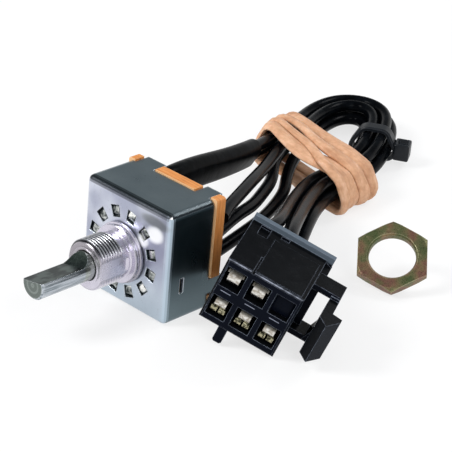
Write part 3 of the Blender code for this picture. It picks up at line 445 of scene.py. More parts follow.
# %% Tin finishes
tin = Finish("tinned_strip", Metallic=1.0)
rolled = tin.noise(0.7, 3.0, stretch=(1.0, 0.3, 1.0))
tin_soft, tin_edge = tin.soft_edges(0.12)
tin_tone = tin.coats(tin.mix(srgb(166, 158, 146), srgb(232, 230, 224), rolled.above(0.35, 0.65)),
                     (srgb(78, 74, 66), tin.facing(CON_UP).above(0.12, 0.42) * 0.85),
                     (srgb(250, 250, 248), tin_edge * 0.3))
tin.set(Base_Color=tin_tone, Roughness=0.16 + 0.14 * rolled, Normal=tin.bump(rolled, 0.02, tin_soft))
paint(tin, *[f"{kind}_terminal_{n}" for kind in ("stator", "connector") for n in range(1, 6)])

olive_tin = Finish("aged_tin", Metallic=1.0)
stain = olive_tin.noise(0.5, 3.0)
olive_tin.set(Base_Color=olive_tin.mix(srgb(64, 62, 48), srgb(176, 170, 140), stain.above(0.4, 0.6)),
              Roughness=0.25 + 0.15 * stain,
              Normal=olive_tin.bump(stain, 0.02, olive_tin.soft_edges(0.08)[0]))
paint(olive_tin)

# %% [markdown]
# ## Black plastics
# Four blacks lie side by side: supple vinyl on the leads, dull shrunk tube, glossy moulded nylon on the
# connector and plainer nylon on the tie. They differ in gloss and in how blue the black is. On the
# connector the mouth is painted navy and the right side lighter, painted reflection and painted light; its
# top is blacker. Its rear lip is grey, and its edges, its front edge and the small ledges over the lower
# row get painted grey highlights, broken up in patches.

# %% Leads, sleeve and tie finishes
vinyl = Finish("lead_vinyl", Specular_IOR_Level=0.025)
scuff = vinyl.noise(3.0, 4.0, 0.6)
vinyl.set(Base_Color=vinyl.mix(srgb(4, 5, 7), srgb(13, 16, 20), scuff.above(0.4, 0.75)),
          Roughness=0.16 + 0.1 * scuff, Normal=vinyl.bump(vinyl.noise(0.9, 3.0) + scuff, 0.02))
paint(vinyl)

shrunk = Finish("shrunk_tube", Specular_IOR_Level=0.02)
crease = shrunk.noise(2.6, 3.0, 0.5)
shrunk.set(Base_Color=shrunk.mix(srgb(4, 5, 6), srgb(14, 16, 19), crease.above(0.4, 0.8)),
           Roughness=0.24 + 0.16 * crease, Normal=shrunk.bump(crease, 0.08))
paint(shrunk)

tie_black = Finish("tie_nylon", Specular_IOR_Level=0.25)
tie_skin = tie_black.noise(0.9, 3.0)
tie_soft, tie_edge = tie_black.soft_edges(0.2)
# The edges get painted highlights.
tie_black.set(Base_Color=tie_black.coats(srgb(10, 13, 17), (srgb(26, 30, 35), tie_skin),
                                         (srgb(90, 98, 108), tie_edge * 0.5)),
              Roughness=0.3 + 0.2 * tie_skin, Normal=tie_black.bump(tie_skin, 0.02, tie_soft))
paint(tie_black)

# %% Connector: where its lip, its front edge and its ledges are
moulded = Finish("connector_moulding", Specular_IOR_Level=0.03)
from_con = moulded.place() - tuple(CONNECTOR_AT + FRONT)
across, depth, height = (from_con.dot(axis) for axis in (CON_RIGHT, CON_BACK, CON_UP))
# Where the grey lip lies, and where painted highlights run along the front edge and the ledges.
lip = depth.above(15.9, 16.3) * height.above(15.7, 16.3)
groove_gap = across.above(-3.4, -3.2) * (1.0 - across.above(-2.7, -2.5))
front_line = (1.0 - depth.above(0.2, 0.4)) * height.above(16.0, 16.2) * (1.0 - groove_gap)
ledges = 0.0
for middle in (-5.9, -0.3, 5.3):
    off = (across - middle) * (across - middle)
    ledges = ledges + (1.0 - off.above(1.1, 1.5))
ledges = ledges * height.above(8.4, 8.5) * (1.0 - height.above(8.6, 8.7)) * (1.0 - depth.above(0.1, 0.2))
print("connector masks:", len(moulded.all.nodes), "nodes so far")

# %% Connector finish
skin = moulded.noise(2.2, 4.0)
highlight_breakup = moulded.noise(1.4, 3.0).above(0.36, 0.6)
shine_soft, shine_edge = moulded.soft_edges(0.2)
# The mouth is painted navy, a painted reflection, and the right side lighter, painted light.
mouth = moulded.facing(tuple(-v for v in CON_BACK)).above(0.7, 0.95)
lit_side = moulded.facing(CON_RIGHT).above(0.3, 0.8)
body_tone = moulded.coats(moulded.mix(srgb(5, 6, 8), srgb(15, 17, 20), skin),
                          (srgb(9, 13, 23), mouth * 0.85), (srgb(24, 29, 37), lit_side * 0.6),
                          (srgb(104, 116, 128), lip * 0.75),
                          (srgb(128, 136, 150), shine_edge * (0.3 + 0.5 * highlight_breakup)),
                          (srgb(168, 174, 190), front_line * (0.3 + 0.6 * highlight_breakup) + ledges * 0.5))
moulded.set(Base_Color=body_tone, Roughness=0.2 + 0.12 * skin,
            Normal=moulded.bump(skin, 0.01, shine_soft))
paint(moulded, "connector_housing")

# %% [markdown]
# ## Rubber and chromate
# The band is natural rubber, tan and dusty with faint lengthways streaks; broad patches of painted shade
# and highlight lie over it, and its rims get painted shade. The nut is zinc under yellow chromate, whose
# thin film turns olive, brown, rose and green from place to place.

# %% Rubber finish
rubber = Finish("band_rubber", Subsurface_Weight=0.12, Subsurface_Scale=0.0015,
                Subsurface_Radius=(1.0, 0.45, 0.25))
dust = rubber.noise(1.1, 4.0, 0.6)
streak = rubber.noise(2.4, 3.0, 0.6, stretch=(0.4, 2.4, 1.0))
fold_shading = rubber.noise(5.0, 2.0, 0.5)
rim = rubber.soft_edges(0.5)[1]
# Broad patches of painted shade and highlight lie over the dust and the streaks.
tan = rubber.ramp(dust * 0.3 + streak * 0.3 + fold_shading * 0.4, (0.36, srgb(178, 128, 92)),
                  (0.5, srgb(204, 156, 120)), (0.64, srgb(226, 184, 152)))
# Along the rims the tan is painted darker: painted shade.
rubber.set(Base_Color=rubber.mix(tan, srgb(146, 100, 68), rim * 0.6),
           Roughness=0.5 + 0.2 * dust, Normal=rubber.bump(dust + streak, 0.08))
paint(rubber)

# %% Nut finish
chromate = Finish("nut_chromate", Metallic=0.7)
film = chromate.noise(4.5, 2.0, 0.5)
patch = chromate.noise(0.9, 4.0, 0.6)
grit = chromate.noise(0.22, 3.0, 0.6)
nut_soft, nut_edge = chromate.soft_edges(0.25)
tint = chromate.ramp(film, (0.32, srgb(82, 96, 58)), (0.44, srgb(112, 110, 74)), (0.52, srgb(134, 108, 80)),
                     (0.6, srgb(128, 88, 76)), (0.7, srgb(112, 104, 70)))
chromate.set(Base_Color=chromate.coats(tint, (srgb(150, 140, 104), patch.above(0.56, 0.72) * 0.7),
                                       (srgb(38, 34, 24), grit.above(0.5, 0.66) * 0.75),
                                       (srgb(206, 196, 160), nut_edge * 0.7)),
             Roughness=0.3 + 0.25 * patch, Normal=chromate.bump(grit + patch, 0.05, nut_soft))
paint(chromate, "mounting_nut")

# %% [markdown]
# ## The leads
# Five black leads run from the switch into one flat bundle, turn back in a loop, and end in the
# connector. A lead is one soft length, so its route comes from a few chosen points; then all
# five are eased apart until they lie beside each other, as they do in the hand.

# %% Route points, in millimetres
LEAD_OD, LEAD_PITCH = 2.9, 3.17
LOOP = [
    (-29.0, 86, 6.0), (-32.4, 93, 5.2), (-35.0, 99.7, 4.6), (-35.9, 105.2, 4.6), (-35.2, 110, 4.6),
    (-32.4, 113.4, 4.6), (-28.1, 114.1, 4.6), (-23.9, 111.7, 4.6), (-20.1, 106.8, 4.6), (-15, 98.5, 4.6),
    (-11.2, 91, 4.6), (-8.8, 82.5, 4.6), (-7.0, 75, 4.7), (-5.9, 68.4, 5.6), (-1.6, 59.4, 7.2),
    (4.3, 49.4, 9.4),
]
IN_BUNDLE = {1: (-2, -1), 2: (-1, 1), 3: (1, 1), 4: (0, -1), 5: (2, -1)}
PAIR = [
    (-6.8, 18.7, 20.2, 90), (-8.0, 23.2, 19.7, 88), (-10.5, 31.6, 18.0, 82), (-13.0, 40.2, 15.9, 74),
    (-15.7, 49.2, 14.0, 68), (-18.9, 57.5, 12.0, 63), (-26.6, 75.5, 8.3, 60),
]
FROM_BOARD = {
    3: [(9.4, 18.7, 18.4), (5.9, 24.1, 17.9), (2.8, 29.9, 17.0), (-3.9, 41.9, 14.9),
        (-12.0, 55.8, 11.8), (-22.8, 75.5, 9.6)],
    4: [(7.6, 18.7, 13.6), (1.9, 32.1, 12.2), (-1.3, 40.1, 10.5), (-6.0, 48.4, 9.2),
        (-11.0, 57.2, 8.2), (-18.8, 66.2, 7.3), (-22.6, 72.5, 6.6), (-25.6, 79.0, 5.4)],
    5: [(6.6, 18.7, 8.0), (1.4, 38.3, 7.4), (-2.2, 46.4, 6.2), (-6.2, 54.2, 5.3),
        (-10.0, 61.0, 4.7), (-14.8, 66.6, 4.4), (-18.9, 72.6, 4.4), (-23.1, 79.6, 4.5)],
}
COLUMN = {1: (5.5, 4.4), 2: (-0.1, 12.1), 3: (-5.7, 12.1), 4: (-0.1, 4.4), 5: (-5.7, 4.4)}
print("the loop has", len(LOOP), "points")

# %% [markdown]
# Leads 1 and 2 share a sleeve, so they stand side by side about one line, PAIR, whose last
# number is their lean. The others have points of their own. In the loop each lead keeps its
# place beside the middle line, in two layers, and then turns into its own cavity.

# %% Stations of one lead
LANE, LAYER, PAIR_HALF = 1.6, 1.4, 1.6


def lead_stations(number):
    loop = np.array(LOOP, float)
    way = np.gradient(loop, axis=0)
    way /= np.linalg.norm(way, axis=1)[:, None]
    aside = np.cross(way, (0, 0, 1))
    aside /= np.linalg.norm(aside, axis=1)[:, None]
    lane, row = IN_BUNDLE[number]
    middle = loop + aside * lane * LANE + np.array((0, 0, row * LAYER))
    if number in FROM_BOARD:
        first = [np.array(p, float) for p in FROM_BOARD[number]]
    else:
        sign = -1 if number == 1 else 1
        first = []
        for x, y, z, lean in PAIR:
            a = math.radians(lean)
            lean_way = np.array((0.93 * math.cos(a), 0.36 * math.cos(a), math.sin(a)))
            first.append(np.array((x, y, z)) + sign * PAIR_HALF * lean_way)
    w, u = COLUMN[number]
    last = [connector_point(w * 0.68 - 0.6, CONNECTOR_DEEP + 8, u * 0.9 + 0.4),
            connector_point(w, CONNECTOR_DEEP + 3, u), connector_point(w, CONNECTOR_DEEP - 4.2, u)]
    return first + list(middle) + last


print("stations:", {k: len(lead_stations(k)) for k in IN_BUNDLE})

# %% [markdown]
# A curve through the stations must not overshoot where they stand close together, so its knots
# are spaced by the root of the distance between them.

# %% Smooth curve and even steps
def between(t, start, end, a, b):
    return (end - t) / (end - start) * a + (t - start) / (end - start) * b


def curve_through(points, steps=8):
    p = np.array(points, float)
    p = np.vstack([2 * p[0] - p[1], p, 2 * p[-1] - p[-2]])
    out = []
    for i in range(1, len(p) - 2):
        a, b, c, d = p[i - 1:i + 3]
        t1 = np.linalg.norm(b - a) ** 0.5
        t2 = t1 + np.linalg.norm(c - b) ** 0.5
        t3 = t2 + np.linalg.norm(d - c) ** 0.5
        for k in range(steps):
            t = t1 + (t2 - t1) * k / steps
            bc = between(t, t1, t2, b, c)
            abc = between(t, 0, t2, between(t, 0, t1, a, b), bc)
            bcd = between(t, t1, t3, bc, between(t, t2, t3, c, d))
            out.append(between(t, t1, t2, abc, bcd))
    out.append(p[-2])
    return np.array(out)


def even(points, step):
    run = np.r_[0, np.cumsum(np.linalg.norm(np.diff(points, axis=0), axis=1))]
    at = np.linspace(0, run[-1], int(round(run[-1] / step)) + 1)
    return np.stack([np.interp(at, run, points[:, k]) for k in range(3)], 1)


leads = {k: even(curve_through(lead_stations(k)), 1.0) for k in IN_BUNDLE}
print("points a lead:", {k: len(p) for k, p in leads.items()})

# %% [markdown]
# Five such curves still run through each other. They are eased a little many times over: each
# point is drawn towards its neighbours, kept stiff and called back to its route, and any two
# leads nearer than their pitch push each other away. The ends in board and connector stay.

# %% Ease the leads apart
SMOOTH, STIFF, HOME, PUSH = 0.1, 0.42, 0.006, 0.44
HELD_FIRST, HELD_LAST, FLOOR_GAP = 2, 7, 0.35


def push_apart(leads, hold):
    names = sorted(leads)
    for n, i in enumerate(names):
        for j in names[n + 1:]:
            gap = leads[i][:, None] - leads[j][None]
            far = np.linalg.norm(gap, axis=2)
            a, b = np.where(far < LEAD_PITCH)
            if not len(a):
                continue
            push = gap[a, b] / far[a, b][:, None] * (LEAD_PITCH - far[a, b])[:, None] * PUSH
            for k, rows, sign in ((i, a, 1), (j, b, -1)):
                move = np.zeros_like(leads[k])
                many = np.zeros((len(move), 1))
                np.add.at(move, rows, sign * push)
                np.add.at(many, rows, 1)
                leads[k] += move / np.maximum(many, 1) * hold[k]


def settle(leads, rounds=500):
    first = {k: p.copy() for k, p in leads.items()}
    hold = {k: np.ones((len(p), 1)) for k, p in leads.items()}
    for free in hold.values():
        free[:HELD_FIRST] = free[-HELD_LAST:] = 0
    for _ in range(rounds):
        for k, p in leads.items():
            pull = np.zeros_like(p)
            pull[1:-1] = (p[:-2] + p[2:]) / 2 - p[1:-1]
            bend = np.zeros_like(p)
            bend[1:-1] = (pull[:-2] + pull[2:]) / 2 - pull[1:-1]
            leads[k] = p + (SMOOTH * pull - STIFF * bend + HOME * (first[k] - p)) * hold[k]
        push_apart(leads, hold)
        for p in leads.values():
            p[:, 2] = np.maximum(p[:, 2], LEAD_OD / 2 + FLOOR_GAP)


settle(leads)
everywhere = np.vstack(list(leads.values()))

# %% [markdown]
# A curve with a round bevel makes the tube. It stays a curve.

# %% Tubes along the routes
lead_pieces = {}
for k, points in leads.items():
    data = bpy.data.curves.new(f"lead_wire_{k}", "CURVE")
    data.dimensions = "3D"
    data.bevel_depth = LEAD_OD / 2 * MM
    data.bevel_resolution = 6
    data.use_fill_caps = True
    line = data.splines.new("POLY")
    fine = even(points, 1.2)
    line.points.add(len(fine) - 1)
    for point, p in zip(line.points, fine):
        point.co = (*((Vector(p) + FRONT) * MM), 1.0)
    line.use_smooth = True
    data.materials.append(vinyl.mat)
    tube = new_object(f"lead_wire_{k}", data)
    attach(tube, "switch_body")
    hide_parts(f"lead_{k}")
    lead_pieces[k] = tube
    print(tube.name, len(fine), "points")

# %% [markdown]
# ## Helpers for lofted pieces
# Most of what is left is a row of loops skinned into a solid: the sleeve, the band, the tie and
# the thread. One helper skins the loops, and one links such a mesh to the scene in metres.

# %% Mesh helpers
def piece(name, bm, finish, replaced=(), sharp=40, matrix=None):
    bmesh.ops.recalc_face_normals(bm, faces=bm.faces)
    if matrix is not None:
        bm.transform(matrix)
    bm.transform(Matrix.Scale(MM, 4) @ Matrix.Translation(FRONT))
    mesh = bpy.data.meshes.new(name)
    bm.to_mesh(mesh)
    bm.free()
    mesh.materials.append(finish.mat)
    mesh.shade_smooth()
    mesh.set_sharp_from_angle(angle=math.radians(sharp))
    obj = new_object(name, mesh)
    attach(obj, "switch_body")
    if replaced:
        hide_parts(*replaced)
    print(name, len(mesh.polygons), "faces")
    return obj


def loft(sections, closed=False, bm=None):
    bm = bm or bmesh.new()
    rings = [[bm.verts.new(p) for p in loop] for loop in sections]
    pairs = list(zip(rings, rings[1:]))
    if closed:
        pairs.append((rings[-1], rings[0]))
    count = len(rings[0])
    for a, b in pairs:
        for i in range(count):
            j = (i + 1) % count
            bm.faces.new((a[i], a[j], b[j], b[i]))
    if not closed:
        bm.faces.new(rings[0])
        bm.faces.new(rings[-1])
    return bm

# %% [markdown]
# ## The shrunk sleeve
# Where two leads leave the upper left corner of the switch, a heat-shrink tube holds them
# together. It is a slot-shaped tube that clings to both leads, so each of its loops is two half
# circles about them, square to the way they run.

# %% Sleeve
SLEEVE_FROM, SLEEVE_TO, SLEEVE_GAP, SLEEVE_WALL = 17.0, 57.0, 0.2, 0.55
LEADS_FROM = 18.8


def sleeve_loop(low, high, radius, way, count=14):
    mid, rise = (low + high) / 2, high - low
    rise -= way * rise.dot(way)
    half = rise.length / 2
    rise.normalize()
    out = way.cross(rise).normalized()
    loop = []
    for sign in (1, -1):
        for i in range(count):
            a = math.pi * (i + 0.5) / count
            loop.append(mid + rise * (sign * (half + radius * math.sin(a)))
                        + out * (sign * radius * math.cos(a)))
    return loop


def at_y(lead, y):
    start = lead[:80]
    return Vector([float(np.interp(y, start[:, 1], start[:, c])) if c != 1 else y for c in range(3)])


outer, inner = [], []
for y in np.linspace(SLEEVE_FROM, SLEEVE_TO, 40):
    low_pt, high_pt = at_y(leads[1], y), at_y(leads[2], y)
    later = max(y, LEADS_FROM) + 1.0
    way = sum((at_y(leads[k], later) - at_y(leads[k], later - 1.0) for k in (1, 2)), Vector()).normalized()
    for loops, wall in ((inner, 0), (outer, SLEEVE_WALL)):
        loops.append(sleeve_loop(low_pt, high_pt, LEAD_OD / 2 + SLEEVE_GAP + wall, way))
sleeve_piece = piece("shrunk_sleeve", loft(outer + inner[::-1], closed=True), shrunk,
                     ["heat_shrink"], sharp=60)

# %% [markdown]
# ## Receptacles
# Each contact is a strip of tinned sheet rolled over at its mouth, so a blade can slide in. A
# strip follows a path inside the cavity: an arc, then a straight tail towards the wire. In the
# upper row two narrow tabs stand beside the roll, and in the lower row two small rolls lie
# under the big one.

# %% Strips along a path
def strip(path, way, low, high, thick, bm=None):
    """Sheet along a path of (point, outward) pairs; `way` runs across it, from low to high."""
    return loft([[point + way * low, point + way * high,
                  point + way * high - out * thick, point + way * low - out * thick]
                 for point, out in path], bm=bm)


def arc_path(w, d, u, radius, first, last, steps, tail=0.0):
    """An arc about a point of a cavity, seen from the side, and a straight tail."""
    path = []
    for a in np.radians(np.linspace(first, last, steps)):
        out = con_axes @ Vector((0, -math.cos(a), math.sin(a)))
        path.append((Vector(connector_point(w, d, u)) + out * radius, out))
    if tail:
        point, out = path[-1]
        path.append((point + con_axes @ Vector((0, tail, 0)), out))
    return path


print("a roll of", len(arc_path(0, 3, 0, 2.6, -42, 42, 16)), "loops")

# %% Rolled receptacles
# each roll: how deep and high its middle lies, radius, degrees either way, steps, half width, sheet
UPPER, LOWER = (3.0, 0.1, 2.6, 42, 16, 1.35, 0.3), (2.3, 0.7, 1.85, 44, 14, 1.25, 0.28)
w_way = Vector(CON_RIGHT)
receptacles = {}
for k, (w, u) in COLUMN.items():
    d, rise, radius, spread, steps, half, sheet = UPPER if u > 8 else LOWER
    path = arc_path(w, d, u + rise, radius, -spread, spread, steps, tail=6.0)
    bm = strip(path, w_way, -half, half, sheet)
    if u > 8:
        for left in (-1.8, 1.4):
            strip(arc_path(w, 3.2, u + rise, radius, 18, 36, 5), w_way, left, left + 0.4, sheet, bm)
    receptacles[k] = [piece(f"receptacle_{k}", bm, tin, [f"connector_terminal_{k}"],
                            sharp=35)]

# %% Small rolls under the lower row
for k, (w, u) in COLUMN.items():
    if u < 8:
        bm, path = bmesh.new(), arc_path(w, 1.3, u - 1.35, 0.78, -70, 100, 12, tail=2.5)
        for left in (-1.62, 0.2):
            strip(path, w_way, left, left + 1.42, 0.26, bm)
        receptacles[k].append(piece(f"curls_{k}", bm, olive_tin, sharp=35))

# %% [markdown]
# ## Blank and top panel
# The sixth cavity has no contact and is closed by a blank set back a little, and a thin panel
# stands on the right part of the connector's top. Both are plates with a bevelled outer face.

# %% Blank of the empty cavity and panel on the top
def slab(low, high, rim):
    """A plate in the connector's own axes, narrower by rim at its outer face."""
    (w0, d0, u0), (w1, d1, u1) = low, high
    loops = []
    for share, inset in ((1, 0.0), (0.3, 0.0), (0.0, rim)):
        wa, wb = w0 + inset, w1 - inset
        if d1 - d0 < u1 - u0:
            d, ua, ub = d0 + (d1 - d0) * share, u0 + inset, u1 - inset
            corners = ((wa, d, ua), (wb, d, ua), (wb, d, ub), (wa, d, ub))
        else:
            u, da, db = u1 - (u1 - u0) * share, d0 + inset, d1 - inset
            corners = ((wa, da, u), (wb, da, u), (wb, db, u), (wa, db, u))
        loops.append([Vector(connector_point(*c)) for c in corners])
    return loft(loops)


blank = piece("cavity_blank", slab((3.35, 1.1, 9.55), (7.65, 1.9, 14.65), 0.5), moulded,
              sharp=30)
panel = piece("top_panel", slab((-2.7, 0.5, 16.2), (7.9, 13.4, 16.54), 0.12), moulded,
              sharp=30)

# %% [markdown]
# ## Tongues behind the slots
# Through the can's twelve slots the photograph shows bits of bright metal, so a ring of little
# domed tongues stands right behind them to catch the light.

# %% Tongues
SLOT_RING, SLOT_PHASE, SLOT_DEEP, TONGUE_HALF = 8.77, 17.2, 0.42, 1.1
tongues = bmesh.new()
for i in range(12):
    a = math.radians(SLOT_PHASE + 30 * i)
    out, aside = Vector((math.cos(a), 0, math.sin(a))), Vector((-math.sin(a), 0, math.cos(a)))
    middle = Vector((AXIS[0], SLOT_DEEP, AXIS[1])) + out * SLOT_RING
    path = []
    for s in np.linspace(-TONGUE_HALF, TONGUE_HALF, 9):
        dome = -0.3 + 0.42 * (s / TONGUE_HALF) ** 2
        slope = Vector((0, -1, 0)) + out * (0.84 * s / 1.21)
        path.append((middle + out * s + Vector((0, dome, 0)), slope.normalized()))
    strip(path, aside, -0.86, 0.86, 0.16, tongues)
piece("slot_tongues", tongues, bright, sharp=60)

# %% [markdown]
# ## The rubber band
# One band is wound four times round both legs of the bundle. Pulled tight, it follows the
# outline of the leads, so its path is the outline of a string stretched over them. Each turn
# keeps its own lane, the lanes draw together at the ends, and the last lane crosses back
# underneath.

# %% Outline of a band stretched over the leads
def held(points, centre, across, along, half_wide, shear):
    """The leads' points under a band, as seen along the bundle."""
    spots = []
    for p in points:
        rel = Vector(p) - centre
        a = rel.dot(across)
        if abs(rel.dot(along) - shear * a) < half_wide + 2.4 and abs(a) < 24:
            spots.append(Vector((a, rel.z)))
    return spots


def stretched(spots, radius, count):
    """A string drawn tight round the spots, at a radius from them."""
    ways = [2 * math.pi * (i + 0.5) / count for i in range(count)]
    outs = [Vector((math.cos(a), math.sin(a))) for a in ways]
    return [max(spots, key=lambda s: s.dot(out)) + out * radius for out in outs]


def dense(pts, count):
    """The outline as evenly spaced points from its lowest one, and the ways out of it."""
    start = min(range(len(pts)), key=lambda i: (pts[i].y, abs(pts[i].x)))
    pts = pts[start:] + pts[:start] + [pts[start]]
    flat = even(np.array([(p.x, p.y, 0) for p in pts]), 1e-3 + sum(
        (a - b).length for a, b in zip(pts, pts[1:])) / count)
    ring = [Vector((p[0], p[1])) for p in flat[:-1]]
    outs = []
    for i in range(len(ring)):
        step = ring[(i + 1) % len(ring)] - ring[i - 1]
        outs.append(Vector((step.y, -step.x)).normalized())
    return ring, outs


def laid(centre, across, along, p, t, lowest):
    """A point of the outline back in its place, this far along and never under the floor."""
    return centre + across * p.x + Vector((0, 0, max(p.y, lowest - centre.z))) + along * t


print("helpers for the band and the tie")

# %% Where the band lies
BAND_AT, BAND_ACROSS = Vector((-16.4, 78.0, 5.5)), Vector((0.93, 0.37, 0.0)).normalized()
BAND_WIDE, BAND_SHEAR, BAND_OFF = 16.0, -0.44, 0.42
band_along = Vector((-BAND_ACROSS.y, BAND_ACROSS.x, 0))
band_spots = held(everywhere, BAND_AT, BAND_ACROSS, band_along, BAND_WIDE / 2, BAND_SHEAR)
band_ring, band_outs = dense(stretched(band_spots, LEAD_OD / 2 + BAND_OFF, 48), 96)
print("once round the bundle:", round(sum((a - b).length for a, b in zip(band_ring, band_ring[1:]))), "mm")

# %% [markdown]
# The lanes come from the photograph. Each row of numbers is one place on a turn: its share of
# the way round, its lane along the bundle, its lift, the width that the twist leaves, and its
# lean. Between these places the numbers are interpolated and smoothed along all four turns.

# %% Lanes of the four turns
STRANDS = [
    [(0.0, 4.2, 0.1, 5.0, 0), (0.08, 4.6, 0.1, 5.2, 0), (0.175, 3.2, 0.1, 6.0, 0),
     (0.3, 4.8, 0.1, 4.0, 0), (0.38, 5.9, 0.1, 4.2, 0), (0.455, 6.0, 0.1, 5.0, 0),
     (0.56, 4.8, 0.2, 4.8, 0), (0.7, 2.0, 0.3, 4.6, 0), (0.85, 0.4, 0.3, 4.4, 0)],
    [(0.0, 0.0, 0.5, 4.2, 0), (0.08, -0.4, 0.7, 4.2, 0), (0.175, -2.6, 1.2, 4.0, 0.2),
     (0.24, -3.0, 1.3, 4.2, 0.1), (0.3, -2.2, 1.3, 4.0, 0), (0.38, 0.1, 1.4, 3.4, 0),
     (0.455, 1.2, 1.0, 4.2, 0), (0.56, 0.7, 0.6, 4.6, 0), (0.7, -3.0, 0.5, 4.4, 0),
     (0.85, -7.0, 0.4, 4.2, 0)],
    [(0.0, -7.8, 0.4, 3.8, 0), (0.08, -8.8, 0.9, 3.6, 0), (0.175, -10.2, 1.4, 3.2, 0.3),
     (0.24, -7.8, 1.1, 3.8, 0.1), (0.3, -6.0, 0.9, 4.0, 0), (0.38, -5.2, 0.7, 3.6, 0),
     (0.455, -3.6, 0.7, 4.2, 0), (0.56, -3.1, 0.7, 4.8, 0), (0.7, -4.0, 0.2, 4.6, 0),
     (0.85, -5.2, 0.1, 4.8, 0)],
    [(0.0, -4.4, 0.1, 6.0, 0), (0.08, -4.8, 0.1, 7.6, 0), (0.175, -6.2, 0.1, 8.0, 0),
     (0.24, -8.4, 0.1, 7.4, 0), (0.3, -10.2, 0.1, 6.4, 0), (0.38, -9.4, 0.1, 6.0, 0),
     (0.455, -7.8, 0.1, 5.6, 0), (0.56, -6.7, 0.1, 5.2, 0), (0.7, -3.4, 0.6, 4.4, 0),
     (0.85, 1.2, 0.6, 4.6, 0)],
]
per, turns = len(band_ring), len(STRANDS)
keys = np.array([(n + share, *rest) for n, row in enumerate(STRANDS) for share, *rest in row]).T
tracks = []
for values in keys[1:]:
    track = np.interp(np.arange(turns * per) / per, keys[0], values, period=turns)
    for _ in range(12):
        track = (np.roll(track, 1) + track * 2 + np.roll(track, -1)) / 4
    tracks.append(track)
print(turns, "turns of", per, "loops")

# %% Band
RIBBON = [(-0.5, 0.0), (-0.45, 0.34), (-0.3, 0.66), (0.0, 0.8), (0.3, 0.66), (0.45, 0.34), (0.5, 0.0),
          (0.4, -0.38), (0.0, -0.42), (-0.4, -0.38)]
RIBBON_THICK, SAG, FAR_REACH, NEAR_REACH = 1.25, 3.0, 1.8, 2.6


def clamp(x):
    return min(max(x, 0.0), 1.0)


def give(p, t):
    """Round the right end the far lanes reach out and the near ones in; on the left they sag."""
    p.x += clamp(p.x / 16) * (FAR_REACH * min(t / 3, 1.0) if t > 0 else NEAR_REACH * max(t / 11, -1.0))
    if p.y > 0:
        p.y -= SAG * clamp((t + 8) / 11) * clamp((8 - p.x) / 18) * min(p.y / 4, 1.0)


sections = []
for step, (lane, lift, wide, lean) in enumerate(zip(*tracks)):
    loop = []
    for s, h in RIBBON:
        rise = lift + (h + 0.42) * RIBBON_THICK + (s + 0.5) * lean * 1.5
        p = band_ring[step % per] + band_outs[step % per] * rise
        t = lane + s * wide
        give(p, t)
        loop.append(laid(BAND_AT, BAND_ACROSS, band_along, p, t + BAND_SHEAR * p.x, 0.08))
    sections.append(loop)
band_piece = piece("band_wound", loft(sections, closed=True), rubber, ["rubber_band"],
                   sharp=70)

# %% [markdown]
# ## The cable tie
# A toothed strap is drawn round one leg of the loop, and its square ratchet head stands off to
# the outside. The strap's inner teeth are cut into the loop's section. The head is a block with
# bevelled edges, sunk at its two mouths.

# %% Tie strap
TIE_AT, TIE_ACROSS = Vector((-16.2, 100.3, 4.55)), Vector((0.86, 0.5, 0.0)).normalized()
TIE_WIDE, TIE_THICK, TOOTH = 3.4, 1.1, 0.12
tie_along = Vector((-TIE_ACROSS.y, TIE_ACROSS.x, 0))
leg = everywhere[(everywhere[:, 1] > 92) & (everywhere[:, 0] > -24)]
tie_spots = held(leg, TIE_AT, TIE_ACROSS, tie_along, TIE_WIDE / 2, 0.0)
tie_ring, tie_outs = dense(stretched(tie_spots, LEAD_OD / 2 + 0.3, 40), 88)
sections = []
for i, (spot2, out2) in enumerate(zip(tie_ring, tie_outs)):
    tooth = TOOTH if i % 2 else 0.0
    loop = []
    for s, h in ((-1, 0.05), (-0.62, 0.05 + tooth), (0.62, 0.05 + tooth), (1, 0.05), (1, 0.66),
                 (0.78, 0.98), (-0.78, 0.98), (-1, 0.66)):
        p = spot2 + out2 * h * TIE_THICK
        loop.append(laid(TIE_AT, TIE_ACROSS, tie_along, p, s * TIE_WIDE / 2, 0.06))
    sections.append(loop)
strap_piece = piece("tie_strap", loft(sections, closed=True), tie_black, ["cable_tie"])

# %% Tie head
HEAD_SIZE, HEAD_BEVEL, HEAD_SINK = (3.9, 4.6, 4.3), 0.55, 0.9
head = bmesh.new()
bmesh.ops.create_cube(head, size=1.0)
bmesh.ops.scale(head, vec=HEAD_SIZE, verts=head.verts)
bmesh.ops.bevel(head, geom=list(head.edges), offset=HEAD_BEVEL, segments=3, profile=0.6, affect="EDGES")
for mouth in [f for f in head.faces if abs(f.normal.z) > 0.9 and f.calc_area() > 6]:
    bmesh.ops.inset_region(head, faces=[mouth], thickness=1.0)
    bmesh.ops.translate(head, vec=-mouth.normal * HEAD_SINK, verts=mouth.verts)
strap_edge = max(p.x for p in tie_ring)
bmesh.ops.translate(head, vec=(strap_edge + 0.3 + HEAD_SIZE[0] / 2, 0, 0), verts=head.verts)
head_turn = Matrix(((TIE_ACROSS.x, tie_along.x, 0, TIE_AT.x), (TIE_ACROSS.y, tie_along.y, 0, TIE_AT.y),
                    (0, 0, 1, TIE_AT.z - 1.0), (0, 0, 0, 1)))
head_piece = piece("tie_head", head, tie_black, matrix=head_turn)

# %% [markdown]
# ## The threaded bushing
# A thread is a ridge that climbs by one pitch each turn. The bushing is turned as a grid of
# points round the shaft line; the radius of each point follows the ridge, and one side is cut
# back to the flat that keeps the bushing from turning in its panel.

